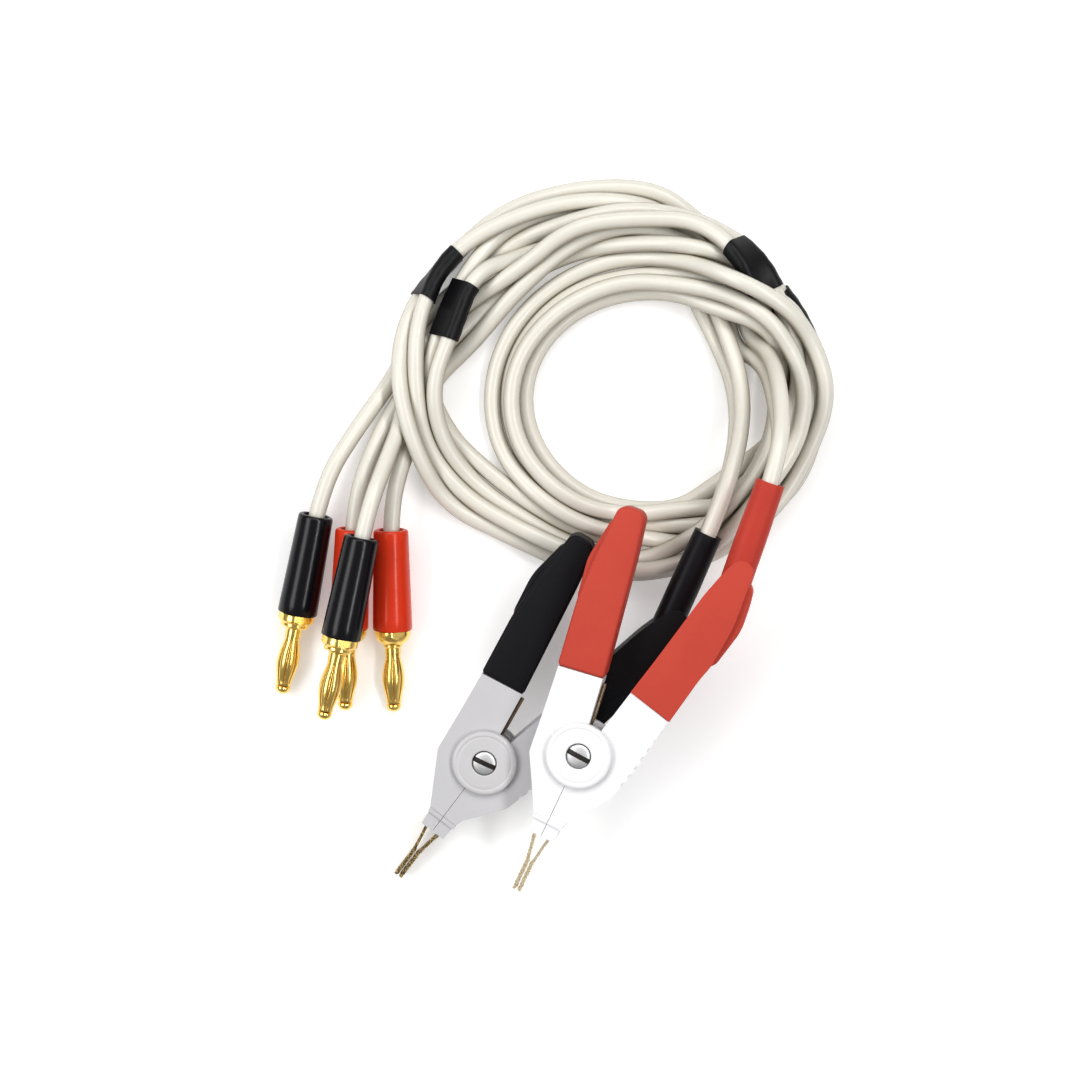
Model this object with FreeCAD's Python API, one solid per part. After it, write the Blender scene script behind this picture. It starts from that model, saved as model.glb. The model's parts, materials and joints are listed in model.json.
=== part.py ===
import FreeCAD, Part
import math
import os

# Kelvin test lead set: two four-wire clips, four leads in a loose coil, four 4 mm plugs.
# Millimetres, +Z up. Places are laid out on a board, and the origin is then moved to the
# table under the middle of the two clips.

V = FreeCAD.Vector
middle = V(10.1, -34.2, 0)

# clip body, in its own frame: pivot at the origin, +Y to the handles, +Z out of the top cap
body_thick = 8.8
core_thick = 7.2
grip_thick = 10.0
pad_thick = 6.4
parting_gap = 0.1
nose_y = -21.8
nose_half = 3.3
lip_y = -18.2
lip_half = 3.9
lip_long = 1.0
collar_outer_y = 17.2
collar_inner_y = 19.0
collar_joint = 0.1
handle_end_y = 56.0
grip_fit = 0.08
grip_wall = 1.0
serration_pitch = 2.6
serration_radius = 0.8
serration_start_y = -2.0
serration_count = 7

# pivot and its caps
hub_radius = 7.2
hub_gap = 0.3
lug_gap = 0.1
spring_layer = 3.6
moving_lug = 1.2
lug_reach = 8.6
lug_half_high = 4.6
cap_radius = 7.95
cap_high = 1.9
cap_edge = 0.8
head_radius = 2.9
head_high = 1.1
head_recess = 1.2
head_gap = 0.15
slot_wide = 1.2
slot_deep = 0.6
shaft_radius = 1.5
shaft_gap = 0.06

# torsion spring
spring_wire = 1.0
spring_radius = 3.7
spring_high = 3.2
leg_end_y = 16.0
leg_groove = 1.6

# contact blades
blade_thick = 0.8
blade_wide = 3.8
blade_tip_y = -36.8
blade_bend_y = -29.0
blade_root_y = -9.5
blade_seat_x = 1.9
blade_tip_x = 0.8
blade_fit = 0.05
tooth_pitch = 1.3
tooth_high = 0.3
tooth_count = 6

# cable boot and leads
cord_dia = 4.1
boot_wide = 7.4
boot_tall = 9.4
boot_start = V(16.0, 50.0, 0)
boot_long = 28.0
boot_fit = 0.05
cord_seat = 6.0
pair_gap = 0.06
inner_wire = 1.3
inner_fit = 0.1
pair_pitch = cord_dia + pair_gap

# clips as they lie: pivot, turn from +Y towards +X, lift of the handles, roll of the right side;
# the black one's screw cap touches the table and the red one lies on the black one's handle
black_rise = 2.95
red_rise = 5.75
black_height = body_thick / 2 + black_rise
red_height = black_height + body_thick + red_rise
red_pivot = V(9.1, -50.2, red_height)
red_turn = 25.0
red_lift = 6.0
red_roll = 6.0
red_boot_lean = 6.0
black_pivot = V(-14.0, -53.0, black_height)
black_turn = 37.0
black_lift = 7.5
black_roll = 0.0
black_boot_lean = 13.0

# plug, in its own frame: front face of the sleeve at the origin, +Y to the lead
sleeve_long = 25.0
sleeve_front_radius = 4.9
sleeve_rear_radius = 4.3
sleeve_lead_radius = 2.9
collar_radius = 4.5
collar_long = 2.2
step_radius = 3.5
step_long = 1.5
neck_radius = 2.0
neck_long = 2.2
barrel_radius = 3.5
barrel_long = 18.0
barrel_fit = 0.1
pin_long = 20.7
pin_core_radius = 1.2
ball_radius = 1.85
lantern_end_radius = 1.9
lantern_bulge_radius = 2.7
lantern_bore_fit = 0.05
lantern_slits = 5
slit_wide = 0.45
slit_margin = 1.2
clamp_screw_radius = 1.3
clamp_screw_y = 6.0
clamp_screw_sink = 0.3

# plugs as they lie: middle of the sleeve's front face, turn and lift of the lead end
plugs_laid = {
    "black_left": (V(-61.0, -17.2, 4.95), 11.8, 8.5),
    "black_right": (V(-49.3, -22.8, 15.1), 12.4, 5.0),
    "red_left": (V(-48.3, -21.0, 4.95), 3.2, 8.5),
    "red_right": (V(-37.4, -21.3, 4.95), -0.4, 8.5),
}

# points of each lead from its plug to the coil, after the straight way out of the sleeve
tail_start_y = 18.0
tail_ways = {
    "black_left": (33.0, [V(-45.6, 29.3, 5.4), V(-36.0, 43.0, 2.4)]),
    "black_right": (32.0, [V(-38.3, 20.5, 11.5), V(-35.0, 30.3, 6.0)]),
    "red_left": (32.0, [V(-42.0, 24.3, 4.9), V(-35.9, 36.2, 2.2)]),
    "red_right": (29.5, [V(-35.2, 19.5, 6.2), V(-31.3, 29.0, 2.6)]),
}

# points of each lead from its boot to the coil, after the straight way out of the boot
boot_way_out = 8.0
boot_ways = {
    "black_lower": [V(47.8, 26.0, 9.2), V(47.6, 39.0, 4.0), V(44.4, 51.0, 2.3), V(40.3, 60.5, 2.3)],
    "black_upper": [V(48.4, 26.4, 14.5), V(48.8, 39.8, 9.2), V(46.9, 52.2, 6.5), V(43.7, 62.0, 6.3)],
    "red_lower": [V(56.2, 34.0, 18.5), V(53.6, 46.4, 9.3), V(49.2, 57.9, 2.4)],
    "red_upper": [V(56.8, 35.6, 25.0), V(54.9, 48.6, 15.6), V(52.4, 59.5, 6.2)],
}

# coil: two oval rings of leads lying on each other
coil_high = 8.2
coil_edge = 2.0
big_centre = V(16.4, 38.8, 0)
big_outer = (53.4, 48.8)
big_band = 12.5
small_centre = V(27.8, 35.7, 0)
small_outer = (41.6, 36.4)
small_band = 11.0

# heat-shrink sleeves over pairs of leads: middle and turn
shrink_long = 14.5
shrink_wide = 6.4
shrink_tall = 8.0
shrinks_laid = {
    "shrink_left_outer": (V(-25.6, 66.1, 4.1), 37.3),
    "shrink_left_inner": (V(-22.3, 56.6, 4.1), 28.3),
    "shrink_right_upper": (V(52.6, 68.4, 4.1), 123.7),
    "shrink_right_lower": (V(63.3, 56.4, 4.1), 148.0),
}


def prism(points, low, high):
    """Upright block on a closed outline of (x, y) points, from height low to high."""
    corners = [V(x, y, low) for x, y in points]
    face = Part.Face(Part.makePolygon(corners + [corners[0]]))
    return face.extrude(V(0, 0, high - low))


def round_upright(solid, radius, picked):
    """Fillet the upright edges whose middle is picked."""
    edges = []
    for edge in solid.Edges:
        start, end = edge.Vertexes[0].Point, edge.Vertexes[-1].Point
        upright = abs(start.x - end.x) < 0.01 and abs(start.y - end.y) < 0.01
        if upright and picked(start):
            edges.append(edge)
    return solid.makeFillet(radius, edges) if edges else solid


def layer(radius, low, high):
    return Part.makeCylinder(radius, high - low, V(0, 0, low))


def tube_along(points, radius, name):
    """Round bar along straight runs joined by tangent arcs as large as the runs allow."""
    edges = []
    radii = []
    start = points[0]
    for before, corner, after in zip(points, points[1:], points[2:]):
        into = (corner - before).normalize()
        out = (after - corner).normalize()
        turn = into.getAngle(out)
        back = 0.45 * min(corner.distanceToPoint(before), corner.distanceToPoint(after))
        arc_start = corner - into * back
        arc_end = corner + out * back
        bend = back / math.tan(turn / 2)
        radii.append(round(bend, 1))
        to_middle = (out - into).normalize()
        arc_middle = corner + to_middle * (math.hypot(bend, back) - bend)
        edges.append(Part.LineSegment(start, arc_start).toShape())
        edges.append(Part.Arc(arc_start, arc_middle, arc_end).toShape())
        start = arc_end
    edges.append(Part.LineSegment(start, points[-1]).toShape())
    path = Part.Wire(edges)
    first = (points[1] - points[0]).normalize()
    section = Part.Wire([Part.makeCircle(radius, points[0], first)])
    solid = path.makePipeShell([section], True, True)
    full = math.pi * radius**2 * path.Length
    print(name, "length", round(path.Length, 1), "bends", radii, "volume", round(solid.Volume / full, 4))
    return solid


# ---- clip, in its own frame


def moving_outline():
    """Left half seen from above: nose, flank, neck of the handle and its tongue."""
    gap = parting_gap / 2
    return [
        (-gap, nose_y),
        (-nose_half, nose_y),
        (-lip_half + 0.4, lip_y),
        (-7.8, -10.4),
        (-11.2, -4.4),
        (-12.4, 7.1),
        (-13.6, collar_outer_y),
        (-2.7, collar_inner_y),
        (-1.0, hub_radius),
        (-gap, 0),
    ]


def fixed_outline():
    """Right half seen from above."""
    gap = parting_gap / 2
    return [
        (gap, nose_y),
        (gap, 0),
        (2.2, hub_radius),
        (4.7, collar_inner_y),
        (15.6, collar_outer_y - 0.6),
        (13.9, 4.8),
        (12.9, 0),
        (11.2, -6.2),
        (4.4, -15.2),
        (lip_half - 0.4, lip_y),
        (nose_half, nose_y),
    ]


def moving_tongue():
    start = collar_outer_y - 1
    return [(-12.6, start), (-15.2, 40), (-15.2, handle_end_y), (-10.4, handle_end_y), (-3.7, start)]


def fixed_tongue():
    start = collar_outer_y - 2.5
    return [(5.7, start), (11.0, 40), (12.6, 48.5), (17.6, 48.5), (18.2, 38), (14.6, start)]


def clip_half(outline, tongue, side, own_lug, other_lug):
    """Half of the body with its hub lugs; own_lug and other_lug are (low, high) heights."""
    half = body_thick / 2
    body = prism(outline, -half, half)
    body = round_upright(body, 1.5, lambda p: -14 < p.y < 10 and abs(p.x) > 6)
    body = body.cut(layer(hub_radius + hub_gap, -half - 1, half + 1))
    body = body.fuse(prism(tongue, -core_thick / 2, core_thick / 2))
    lip = prism([(0, lip_y), (side * lip_half, lip_y), (side * lip_half, lip_y + lip_long),
                 (0, lip_y + lip_long)], -half - 0.6, half + 0.6)
    lip = lip.cut(prism([(-parting_gap / 2, lip_y - 1), (parting_gap / 2, lip_y - 1),
                         (parting_gap / 2, 0), (-parting_gap / 2, 0)], -half - 1, half + 1))
    body = body.fuse(lip)
    for sign in (1, -1):
        low, high = sorted((sign * own_lug[0], sign * own_lug[1]))
        arm = prism([(0, -lug_half_high), (side * lug_reach, -lug_half_high),
                     (side * lug_reach, lug_half_high), (0, lug_half_high)], low, high)
        body = body.fuse(layer(hub_radius, low, high)).fuse(arm)
    return body.cut(layer(shaft_radius + shaft_gap, -half - 1, half + 1))


def lug_heights():
    """(low, high) of the moving half's lugs and of the fixed half's, above the middle."""
    moving_low = spring_layer / 2
    moving_high = moving_low + moving_lug
    return (moving_low, moving_high), (moving_high + lug_gap, body_thick / 2)


def cut_blade_seat(body, side):
    """Slot in the nose that holds the root of a contact blade."""
    near = side * (blade_seat_x - blade_thick / 2 - blade_fit)
    far = side * (blade_seat_x + blade_thick / 2 + blade_fit)
    high = blade_wide / 2 + blade_fit
    seat = prism([(near, nose_y - 1), (far, nose_y - 1), (far, blade_root_y + blade_fit),
                  (near, blade_root_y + blade_fit)], -high, high)
    return body.cut(seat)


def inner_way(side):
    """Points of the wire inside a half, from the handle or the hub to the blade's root."""
    if side > 0:
        return [V(15.6, 46.5, 0), V(12.6, 30, 0), V(10.6, 12, 0), V(9.4, -2, 0), V(2.6, -9.0, 0)]
    return [V(-8.4, 3.5, 0), V(-9.3, -1.5, 0), V(-7.2, -5.8, 0), V(-2.6, -9.0, 0)]


def cut_inner_channel(body, side):
    way = inner_way(side)
    channel = tube_along(way, inner_wire / 2 + inner_fit, "channel")
    for end in (way[0], way[-1]):
        channel = channel.fuse(Part.makeSphere(inner_wire / 2 + inner_fit, end))
    return body.cut(channel)


def leg_line(side):
    """Start and end of a spring leg along the inner wall of a handle's neck."""
    if side < 0:
        return V(-1.9, 7.0, 0), V(-3.1, leg_end_y, 0)
    return V(3.1, 7.0, 0), V(5.0, leg_end_y - 1.0, 0)


def cut_leg_groove(body, side):
    start, end = leg_line(side)
    along = (end - start).normalize()
    start = start - along * 4
    end = end + along * 0.8
    wide = leg_groove / 2
    inner_wall = -side * 3.0
    groove = prism([(start.x + side * wide, start.y), (end.x + side * wide, end.y),
                    (end.x + inner_wall, end.y), (start.x + inner_wall, start.y)], -wide, wide)
    return body.cut(groove)


def moving_half():
    moving, fixed = lug_heights()
    body = clip_half(moving_outline(), moving_tongue(), -1, moving, fixed)
    body = cut_leg_groove(cut_blade_seat(body, -1), -1)
    return cut_inner_channel(body, -1)


def serrations():
    """Round nicks for the finger along the outer edge of the fixed half."""
    nicks = []
    for i in range(serration_count):
        y = serration_start_y + i * serration_pitch
        x = 12.9 + max(y, 0) * 0.19 + min(y, 0) * 0.25 + 0.35
        nicks.append(Part.makeCylinder(serration_radius, body_thick + 2, V(x, y, -body_thick / 2 - 1)))
    return nicks


def fixed_half():
    moving, fixed = lug_heights()
    body = clip_half(fixed_outline(), fixed_tongue(), 1, fixed, moving)
    body = cut_leg_groove(cut_blade_seat(body, 1), 1)
    body = cut_inner_channel(body, 1)
    for nick in serrations():
        body = body.cut(nick)
    return body


def blade(side):
    """Toothed strip: straight in its seat, bent to meet the other blade, flat at the tip."""
    half = blade_thick / 2
    line = [(blade_seat_x, blade_root_y), (blade_seat_x, nose_y), (blade_tip_x, blade_bend_y),
            (blade_tip_x, blade_tip_y)]
    outer = [(side * (x + half), y) for x, y in line]
    inner = [(side * (x - half), y) for x, y in line]
    for i in range(tooth_count):
        y = blade_tip_y + (i + 0.5) * tooth_pitch
        tip = side * (blade_tip_x - half - tooth_high)
        inner.insert(3, (tip, y))
        inner.insert(3, (side * (blade_tip_x - half), y + tooth_pitch / 2))
    return prism(outer + inner[::-1], -blade_wide / 2, blade_wide / 2)


def cap(side):
    """Round cap over the hub with a recess for the screw's head; side is 1 up, -1 down."""
    low = body_thick / 2
    disc = layer(cap_radius, low, low + cap_high)
    rim = [e for e in disc.Edges if e.Curve.TypeId == "Part::GeomCircle" and e.Vertexes[0].Z > low + 1]
    disc = disc.makeFillet(cap_edge, rim)
    disc = disc.cut(layer(head_radius + head_gap, low + cap_high - head_recess, low + cap_high + 1))
    disc = disc.cut(layer(shaft_radius + shaft_gap, low - 1, low + cap_high))
    return disc if side > 0 else disc.mirror(V(0, 0, 0), V(0, 0, 1))


def head_plane():
    return body_thick / 2 + cap_high - head_recess


def pivot_screw():
    top = head_plane() + head_high
    head = layer(head_radius, head_plane(), top)
    shaft = layer(shaft_radius, -head_plane() - head_high, head_plane() + 0.1)
    slot = Part.makeBox(3 * head_radius, slot_wide, slot_deep + 1,
                        V(-1.5 * head_radius, -slot_wide / 2, top - slot_deep))
    slot.rotate(V(0, 0, 0), V(0, 0, 1), -6)
    return head.fuse(shaft).cut(slot)


def pivot_nut():
    ring = layer(head_radius, -head_plane() - head_high, -head_plane())
    return ring.cut(layer(shaft_radius, -head_plane() - head_high - 1, 0))


def torsion_spring():
    """Outer shape of the coil round the screw, with its two legs."""
    wire = spring_wire / 2
    coil = layer(spring_radius + wire, -spring_high / 2, spring_high / 2)
    coil = coil.cut(layer(spring_radius - wire, -spring_high, spring_high))
    for side in (-1, 1):
        start, end = leg_line(side)
        root = V(side * 3.6, 1.0, 0)
        leg = tube_along([root, start, end], wire, "spring leg")
        coil = coil.fuse(leg)
    return coil


def grip_shell(outline, pad, tongue, boot):
    """PVC grip: flat faces, a thinner pad on its outer side, hollow over the tongue."""
    half = grip_thick / 2
    grip = prism(outline, -half, half)
    grip = round_upright(grip, 2.2, lambda p: p.y > 50)
    flat = [e for e in grip.Edges if abs(abs(e.CenterOfMass.z) - half) < 0.01]
    grip = grip.makeFillet(0.7, flat)
    swell = prism(pad, -pad_thick / 2, pad_thick / 2)
    swell = round_upright(swell, 2.5, lambda p: abs(p.x) > 17)
    grip = grip.fuse(swell)
    hollow = prism(tongue, -core_thick / 2, core_thick / 2).makeOffsetShape(grip_fit, 0.001, join=2)
    grip = grip.cut(hollow)
    if boot:
        grip = grip.cut(boot)
    return grip


def moving_grip():
    outline = [(-13.9, collar_outer_y + collar_joint), (-16.3, 33), (-16.9, 44), (-16.6, 58.4),
               (-10.2, 59.0), (-7.7, 47.9), (-4.2, 28.7), (-2.5, collar_inner_y + collar_joint)]
    pad = [(-14, 31.5), (-16.6, 33.2), (-18.4, 43.5), (-17.6, 49.5), (-17.0, 54.5), (-14, 55)]
    return grip_shell(outline, pad, moving_tongue(), None)


def fixed_grip(lean):
    outline = [(15.9, collar_outer_y - 0.6 + collar_joint), (18.0, 28.7), (19.2, 33), (20.0, 44),
               (18.6, 58.6), (14.2, 59.0), (12.4, 54.5), (10.5, 47.9), (6.7, 28.7),
               (4.6, collar_inner_y + collar_joint)]
    pad = [(16.5, 31.5), (19.8, 32.8), (21.9, 43.0), (21.2, 49.5), (20.2, 54.0), (16.5, 54.5)]
    socket = boot_solid(lean, boot_fit)
    return grip_shell(outline, pad, fixed_tongue(), socket)


def boot_frame(lean):
    """Place of the boot's own frame, +Y along the boot, on the clip."""
    return FreeCAD.Placement(boot_start, FreeCAD.Rotation(V(0, 0, 1), lean))


def boot_solid(lean, grow):
    """Flat-sided round-edged bar of the boot's outer size, grown all round."""
    wide = boot_wide + 2 * grow
    tall = boot_tall + 2 * grow
    bar = Part.makeBox(wide, boot_long + grow, tall, V(-wide / 2, -grow, -tall / 2))
    along = [e for e in bar.Edges if abs(e.tangentAt(e.FirstParameter).y) > 0.9]
    bar = bar.makeFillet(wide / 2 - 0.2, along)
    bar.Placement = boot_frame(lean)
    return bar


def cable_boot(lean):
    boot = boot_solid(lean, 0)
    for sign in (1, -1):
        mouth = V(0, boot_long - cord_seat, sign * pair_pitch / 2)
        hole = Part.makeCylinder(cord_dia / 2, cord_seat + 1, mouth, V(0, 1, 0))
        hole.Placement = boot_frame(lean)
        boot = boot.cut(hole)
    return boot


def clip_frame(pivot, turn, lift, roll):
    """Place of a clip's own frame on the board."""
    lay = FreeCAD.Rotation(V(0, 0, 1), -turn)
    raise_handles = FreeCAD.Rotation(V(1, 0, 0), lift)
    tip = FreeCAD.Rotation(V(0, 1, 0), -roll)
    return FreeCAD.Placement(pivot - middle, lay.multiply(raise_handles).multiply(tip))


def clip(colour, pivot, turn, lift, roll, lean):
    """All pieces of one clip, placed."""
    frame = clip_frame(pivot, turn, lift, roll)
    pieces = {
        "fixed_half": fixed_half(),
        "moving_half": moving_half(),
        "fixed_contact": blade(1),
        "moving_contact": blade(-1),
        "upper_cap": cap(1),
        "lower_cap": cap(-1),
        "pivot_screw": pivot_screw(),
        "pivot_nut": pivot_nut(),
        "torsion_spring": torsion_spring(),
        "moving_grip": moving_grip(),
        "fixed_grip": fixed_grip(lean),
        "cable_boot": cable_boot(lean),
        "fixed_inner_wire": tube_along(inner_way(1), inner_wire / 2, "inner wire"),
        "moving_inner_wire": tube_along(inner_way(-1), inner_wire / 2, "inner wire"),
    }
    for name, shape in pieces.items():
        save(colour + "_" + name, shape, frame)
    axis = frame.Rotation.multVec(V(0, 0, -1))
    print(colour, "pivot", frame.Base, "opening axis", axis)
    print(colour, "jaw", frame.multVec(V(0, blade_tip_y, 0)), "axis", frame.Rotation.multVec(V(0, -1, 0)))
    return frame


# ---- plug, in its own frame


def plug_sleeve():
    """Tapered sleeve, threaded bore in front shown plain, smaller hole for the lead behind."""
    profile = [V(barrel_radius + barrel_fit, 0, 0), V(sleeve_front_radius - 0.4, 0, 0),
               V(sleeve_front_radius, 0.4, 0), V(sleeve_rear_radius, sleeve_long - 0.5, 0),
               V(sleeve_rear_radius - 0.5, sleeve_long, 0), V(sleeve_lead_radius, sleeve_long, 0),
               V(sleeve_lead_radius, barrel_long + 1.5, 0),
               V(barrel_radius + barrel_fit, barrel_long + 0.9, 0)]
    face = Part.Face(Part.makePolygon(profile + [profile[0]]))
    return face.revolve(V(0, 0, 0), V(0, 1, 0), 360)


def plug_core():
    """Barrel inside the sleeve, two-step collar, neck, pin core and rounded tip."""
    step_y = -collar_long - step_long
    neck_y = step_y - neck_long
    ball_y = -pin_long + ball_radius
    profile = [V(0, barrel_long, 0), V(barrel_radius, barrel_long, 0), V(barrel_radius, -0.1, 0),
               V(collar_radius, -0.1, 0), V(collar_radius, -collar_long + 0.4, 0),
               V(collar_radius - 0.6, -collar_long, 0), V(step_radius, -collar_long, 0),
               V(step_radius, step_y + 0.5, 0), V(neck_radius, step_y, 0), V(neck_radius, neck_y, 0),
               V(pin_core_radius, neck_y, 0), V(pin_core_radius, ball_y + 0.3, 0),
               V(ball_radius, ball_y, 0), V(ball_radius - 0.25, -pin_long + 0.7, 0),
               V(ball_radius - 0.9, -pin_long + 0.1, 0), V(0, -pin_long, 0)]
    core = Part.Face(Part.makePolygon(profile + [profile[0]])).revolve(V(0, 0, 0), V(0, 1, 0), 360)
    lead_hole = Part.makeCylinder(cord_dia / 2 - 0.8, barrel_long - 2, V(0, 2.5, 0), V(0, 1, 0))
    screw_hole = Part.makeCylinder(clamp_screw_radius, barrel_radius + 1, V(0, clamp_screw_y, 0))
    return core.cut(lead_hole).cut(screw_hole)


def lantern():
    """Bulged slit tube round the pin core."""
    front = -pin_long + ball_radius + 0.35
    back = -collar_long - step_long - neck_long - 0.05
    long = back - front
    bulge = V(lantern_bulge_radius, front + 0.5 * long, 0)
    arc = Part.Arc(V(lantern_end_radius, front + 0.8, 0), bulge, V(lantern_end_radius, back - 0.8, 0))
    inner_bulge = V(lantern_bulge_radius - 0.45, front + 0.5 * long, 0)
    bore = pin_core_radius + lantern_bore_fit
    inner = Part.Arc(V(bore, back - 0.8, 0), inner_bulge, V(bore, front + 0.8, 0))
    rim = [V(bore, front + 0.8, 0), V(bore, front, 0), V(lantern_end_radius, front, 0),
           V(lantern_end_radius, front + 0.8, 0)]
    tail = [V(lantern_end_radius, back - 0.8, 0), V(lantern_end_radius, back, 0), V(bore, back, 0),
            V(bore, back - 0.8, 0)]
    ends = Part.makePolygon(rim).Edges, Part.makePolygon(tail).Edges
    outline = Part.Wire(ends[0] + [arc.toShape()] + ends[1] + [inner.toShape()])
    shell = Part.Face(outline).revolve(V(0, 0, 0), V(0, 1, 0), 360)
    for i in range(lantern_slits):
        corner = V(-slit_wide / 2, front + slit_margin, 0.5)
        slit = Part.makeBox(slit_wide, long - 2 * slit_margin, 4, corner)
        slit.rotate(V(0, 0, 0), V(0, 1, 0), 360 / lantern_slits * (i + 0.5))
        shell = shell.cut(slit)
    return shell


def clamp_screw():
    top = barrel_radius - clamp_screw_sink
    screw = Part.makeCylinder(clamp_screw_radius, top - 1.3, V(0, clamp_screw_y, 1.3))
    slot = Part.makeBox(4, 0.5, 1, V(-2, clamp_screw_y - 0.25, top - 0.5))
    return screw.cut(slot)


def plug_frame(name):
    place, turn, lift = plugs_laid[name]
    lay = FreeCAD.Rotation(V(0, 0, 1), -turn)
    rise = FreeCAD.Rotation(V(1, 0, 0), lift)
    return FreeCAD.Placement(place - middle, lay.multiply(rise))


def plug(name):
    frame = plug_frame(name)
    save(name + "_plug_sleeve", plug_sleeve(), frame)
    save(name + "_plug_core", plug_core(), frame)
    save(name + "_plug_lantern", lantern(), frame)
    save(name + "_plug_clamp_screw", clamp_screw(), frame)
    straight, way = tail_ways[name]
    start = frame.multVec(V(0, tail_start_y, 0))
    out = frame.multVec(V(0, straight, 0))
    points = [start, out] + [p - middle for p in way]
    print(name, "tail", points)
    save(name + "_plug_lead", tube_along(points, cord_dia / 2, name), None)
    print(name, "tip", frame.multVec(V(0, -pin_long, 0)), "axis", frame.Rotation.multVec(V(0, -1, 0)))


# ---- leads between the boots and the coil, coil and shrink sleeves


def boot_lead(colour, level, frame, lean):
    sign = 1 if level == "upper" else -1
    boot = frame.multiply(boot_frame(lean))
    start = boot.multVec(V(0, boot_long - cord_seat, sign * pair_pitch / 2))
    out = boot.multVec(V(0, boot_long + boot_way_out, sign * pair_pitch / 2))
    way = boot_ways[colour + "_" + level]
    points = [start, out] + [p - middle for p in way]
    print(colour, level, "lead", points, "exit", boot.multVec(V(0, boot_long, sign * pair_pitch / 2)))
    save(colour + "_" + level + "_clip_lead", tube_along(points, cord_dia / 2, colour + level), None)


def oval(centre, half_sizes):
    """Closed oval wire with its longer half size along X."""
    ellipse = Part.Ellipse(centre - middle, half_sizes[0], half_sizes[1])
    return Part.Wire([ellipse.toShape()])


def ring(centre, outer, band):
    inner = (outer[0] - band, outer[1] - band)
    disc = Part.Face(oval(centre, outer)).extrude(V(0, 0, coil_high))
    hole = Part.Face(oval(centre, inner)).extrude(V(0, 0, coil_high + 2))
    hole.translate(V(0, 0, -1))
    top = [e for e in disc.Edges if abs(e.CenterOfMass.z - coil_high) < 0.01]
    return disc.makeChamfer(coil_edge, top).cut(hole)


def lead_coil():
    return ring(big_centre, big_outer, big_band).fuse(ring(small_centre, small_outer, small_band))


def shrink_sleeve(name):
    place, turn = shrinks_laid[name]
    half = shrink_wide / 2
    bar = Part.makeBox(shrink_wide, shrink_long, shrink_tall, V(-half, -shrink_long / 2, -shrink_tall / 2))
    along = [e for e in bar.Edges if abs(e.tangentAt(e.FirstParameter).y) > 0.9]
    frame = FreeCAD.Placement(place - middle, FreeCAD.Rotation(V(0, 0, 1), -turn))
    save(name, bar.makeFillet(half - 0.2, along), frame)


def save(name, shape, frame):
    """Write one node, moved from its own frame to the object's."""
    shape = shape.copy()
    if frame is not None:
        shape.Placement = frame.multiply(shape.Placement)
    if not shape.isValid():
        print("not valid:", name)
    solids = len(shape.Solids)
    if solids != 1:
        print("solids in", name, solids)
    shape.exportStep("parts/" + name + ".step")


def main():
    os.makedirs("parts", exist_ok=True)
    red = clip("red", red_pivot, red_turn, red_lift, red_roll, red_boot_lean)
    black = clip("black", black_pivot, black_turn, black_lift, black_roll, black_boot_lean)
    for level in ("lower", "upper"):
        boot_lead("red", level, red, red_boot_lean)
        boot_lead("black", level, black, black_boot_lean)
    for name in plugs_laid:
        plug(name)
    save("lead_coil", lead_coil(), None)
    for name in shrinks_laid:
        shrink_sleeve(name)


main()
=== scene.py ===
import json
import math

import bmesh
import bpy
import numpy as np
from mathutils import Matrix, Vector

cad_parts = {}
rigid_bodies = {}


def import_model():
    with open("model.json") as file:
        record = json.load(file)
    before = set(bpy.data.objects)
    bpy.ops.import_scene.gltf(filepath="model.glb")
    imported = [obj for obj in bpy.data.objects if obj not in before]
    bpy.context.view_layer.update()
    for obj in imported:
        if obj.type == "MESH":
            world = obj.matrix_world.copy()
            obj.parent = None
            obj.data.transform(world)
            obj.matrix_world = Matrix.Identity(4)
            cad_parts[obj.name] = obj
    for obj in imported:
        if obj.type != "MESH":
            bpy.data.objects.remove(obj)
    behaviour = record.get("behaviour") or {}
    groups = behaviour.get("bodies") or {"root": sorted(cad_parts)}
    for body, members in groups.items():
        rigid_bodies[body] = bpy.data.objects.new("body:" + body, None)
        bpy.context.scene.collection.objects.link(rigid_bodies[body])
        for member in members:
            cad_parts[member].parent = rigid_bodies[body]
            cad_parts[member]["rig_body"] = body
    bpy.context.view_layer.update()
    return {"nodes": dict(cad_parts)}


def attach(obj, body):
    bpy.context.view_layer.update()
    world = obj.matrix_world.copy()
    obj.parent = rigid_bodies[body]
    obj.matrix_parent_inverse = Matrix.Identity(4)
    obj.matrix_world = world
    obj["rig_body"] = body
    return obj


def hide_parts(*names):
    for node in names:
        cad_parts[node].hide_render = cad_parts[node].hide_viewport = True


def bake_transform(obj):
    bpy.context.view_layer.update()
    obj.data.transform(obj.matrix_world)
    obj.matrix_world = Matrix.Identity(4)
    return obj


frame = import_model()
nodes = frame["nodes"]
mm = 0.001
print("frame loaded:", len(nodes), "nodes")

# where the clips and plugs lie, in millimetres and degrees, as in the CAD part
laid = {
    "red": {"pivot": (-1.0, -16.0, 21.9), "turn": 25.0, "lift": 6.0, "roll": 6.0},
    "black": {"pivot": (-24.1, -18.8, 7.35), "turn": 37.0, "lift": 7.5, "roll": 0.0},
    "black_left": {"pivot": (-71.1, 17.0, 4.95), "turn": 11.8, "lift": 8.5, "roll": 0.0},
    "black_right": {"pivot": (-59.4, 11.4, 15.1), "turn": 12.4, "lift": 5.0, "roll": 0.0},
    "red_left": {"pivot": (-58.4, 13.2, 4.95), "turn": 3.2, "lift": 8.5, "roll": 0.0},
    "red_right": {"pivot": (-47.5, 12.9, 4.95), "turn": -0.4, "lift": 8.5, "roll": 0.0},
}


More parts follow.
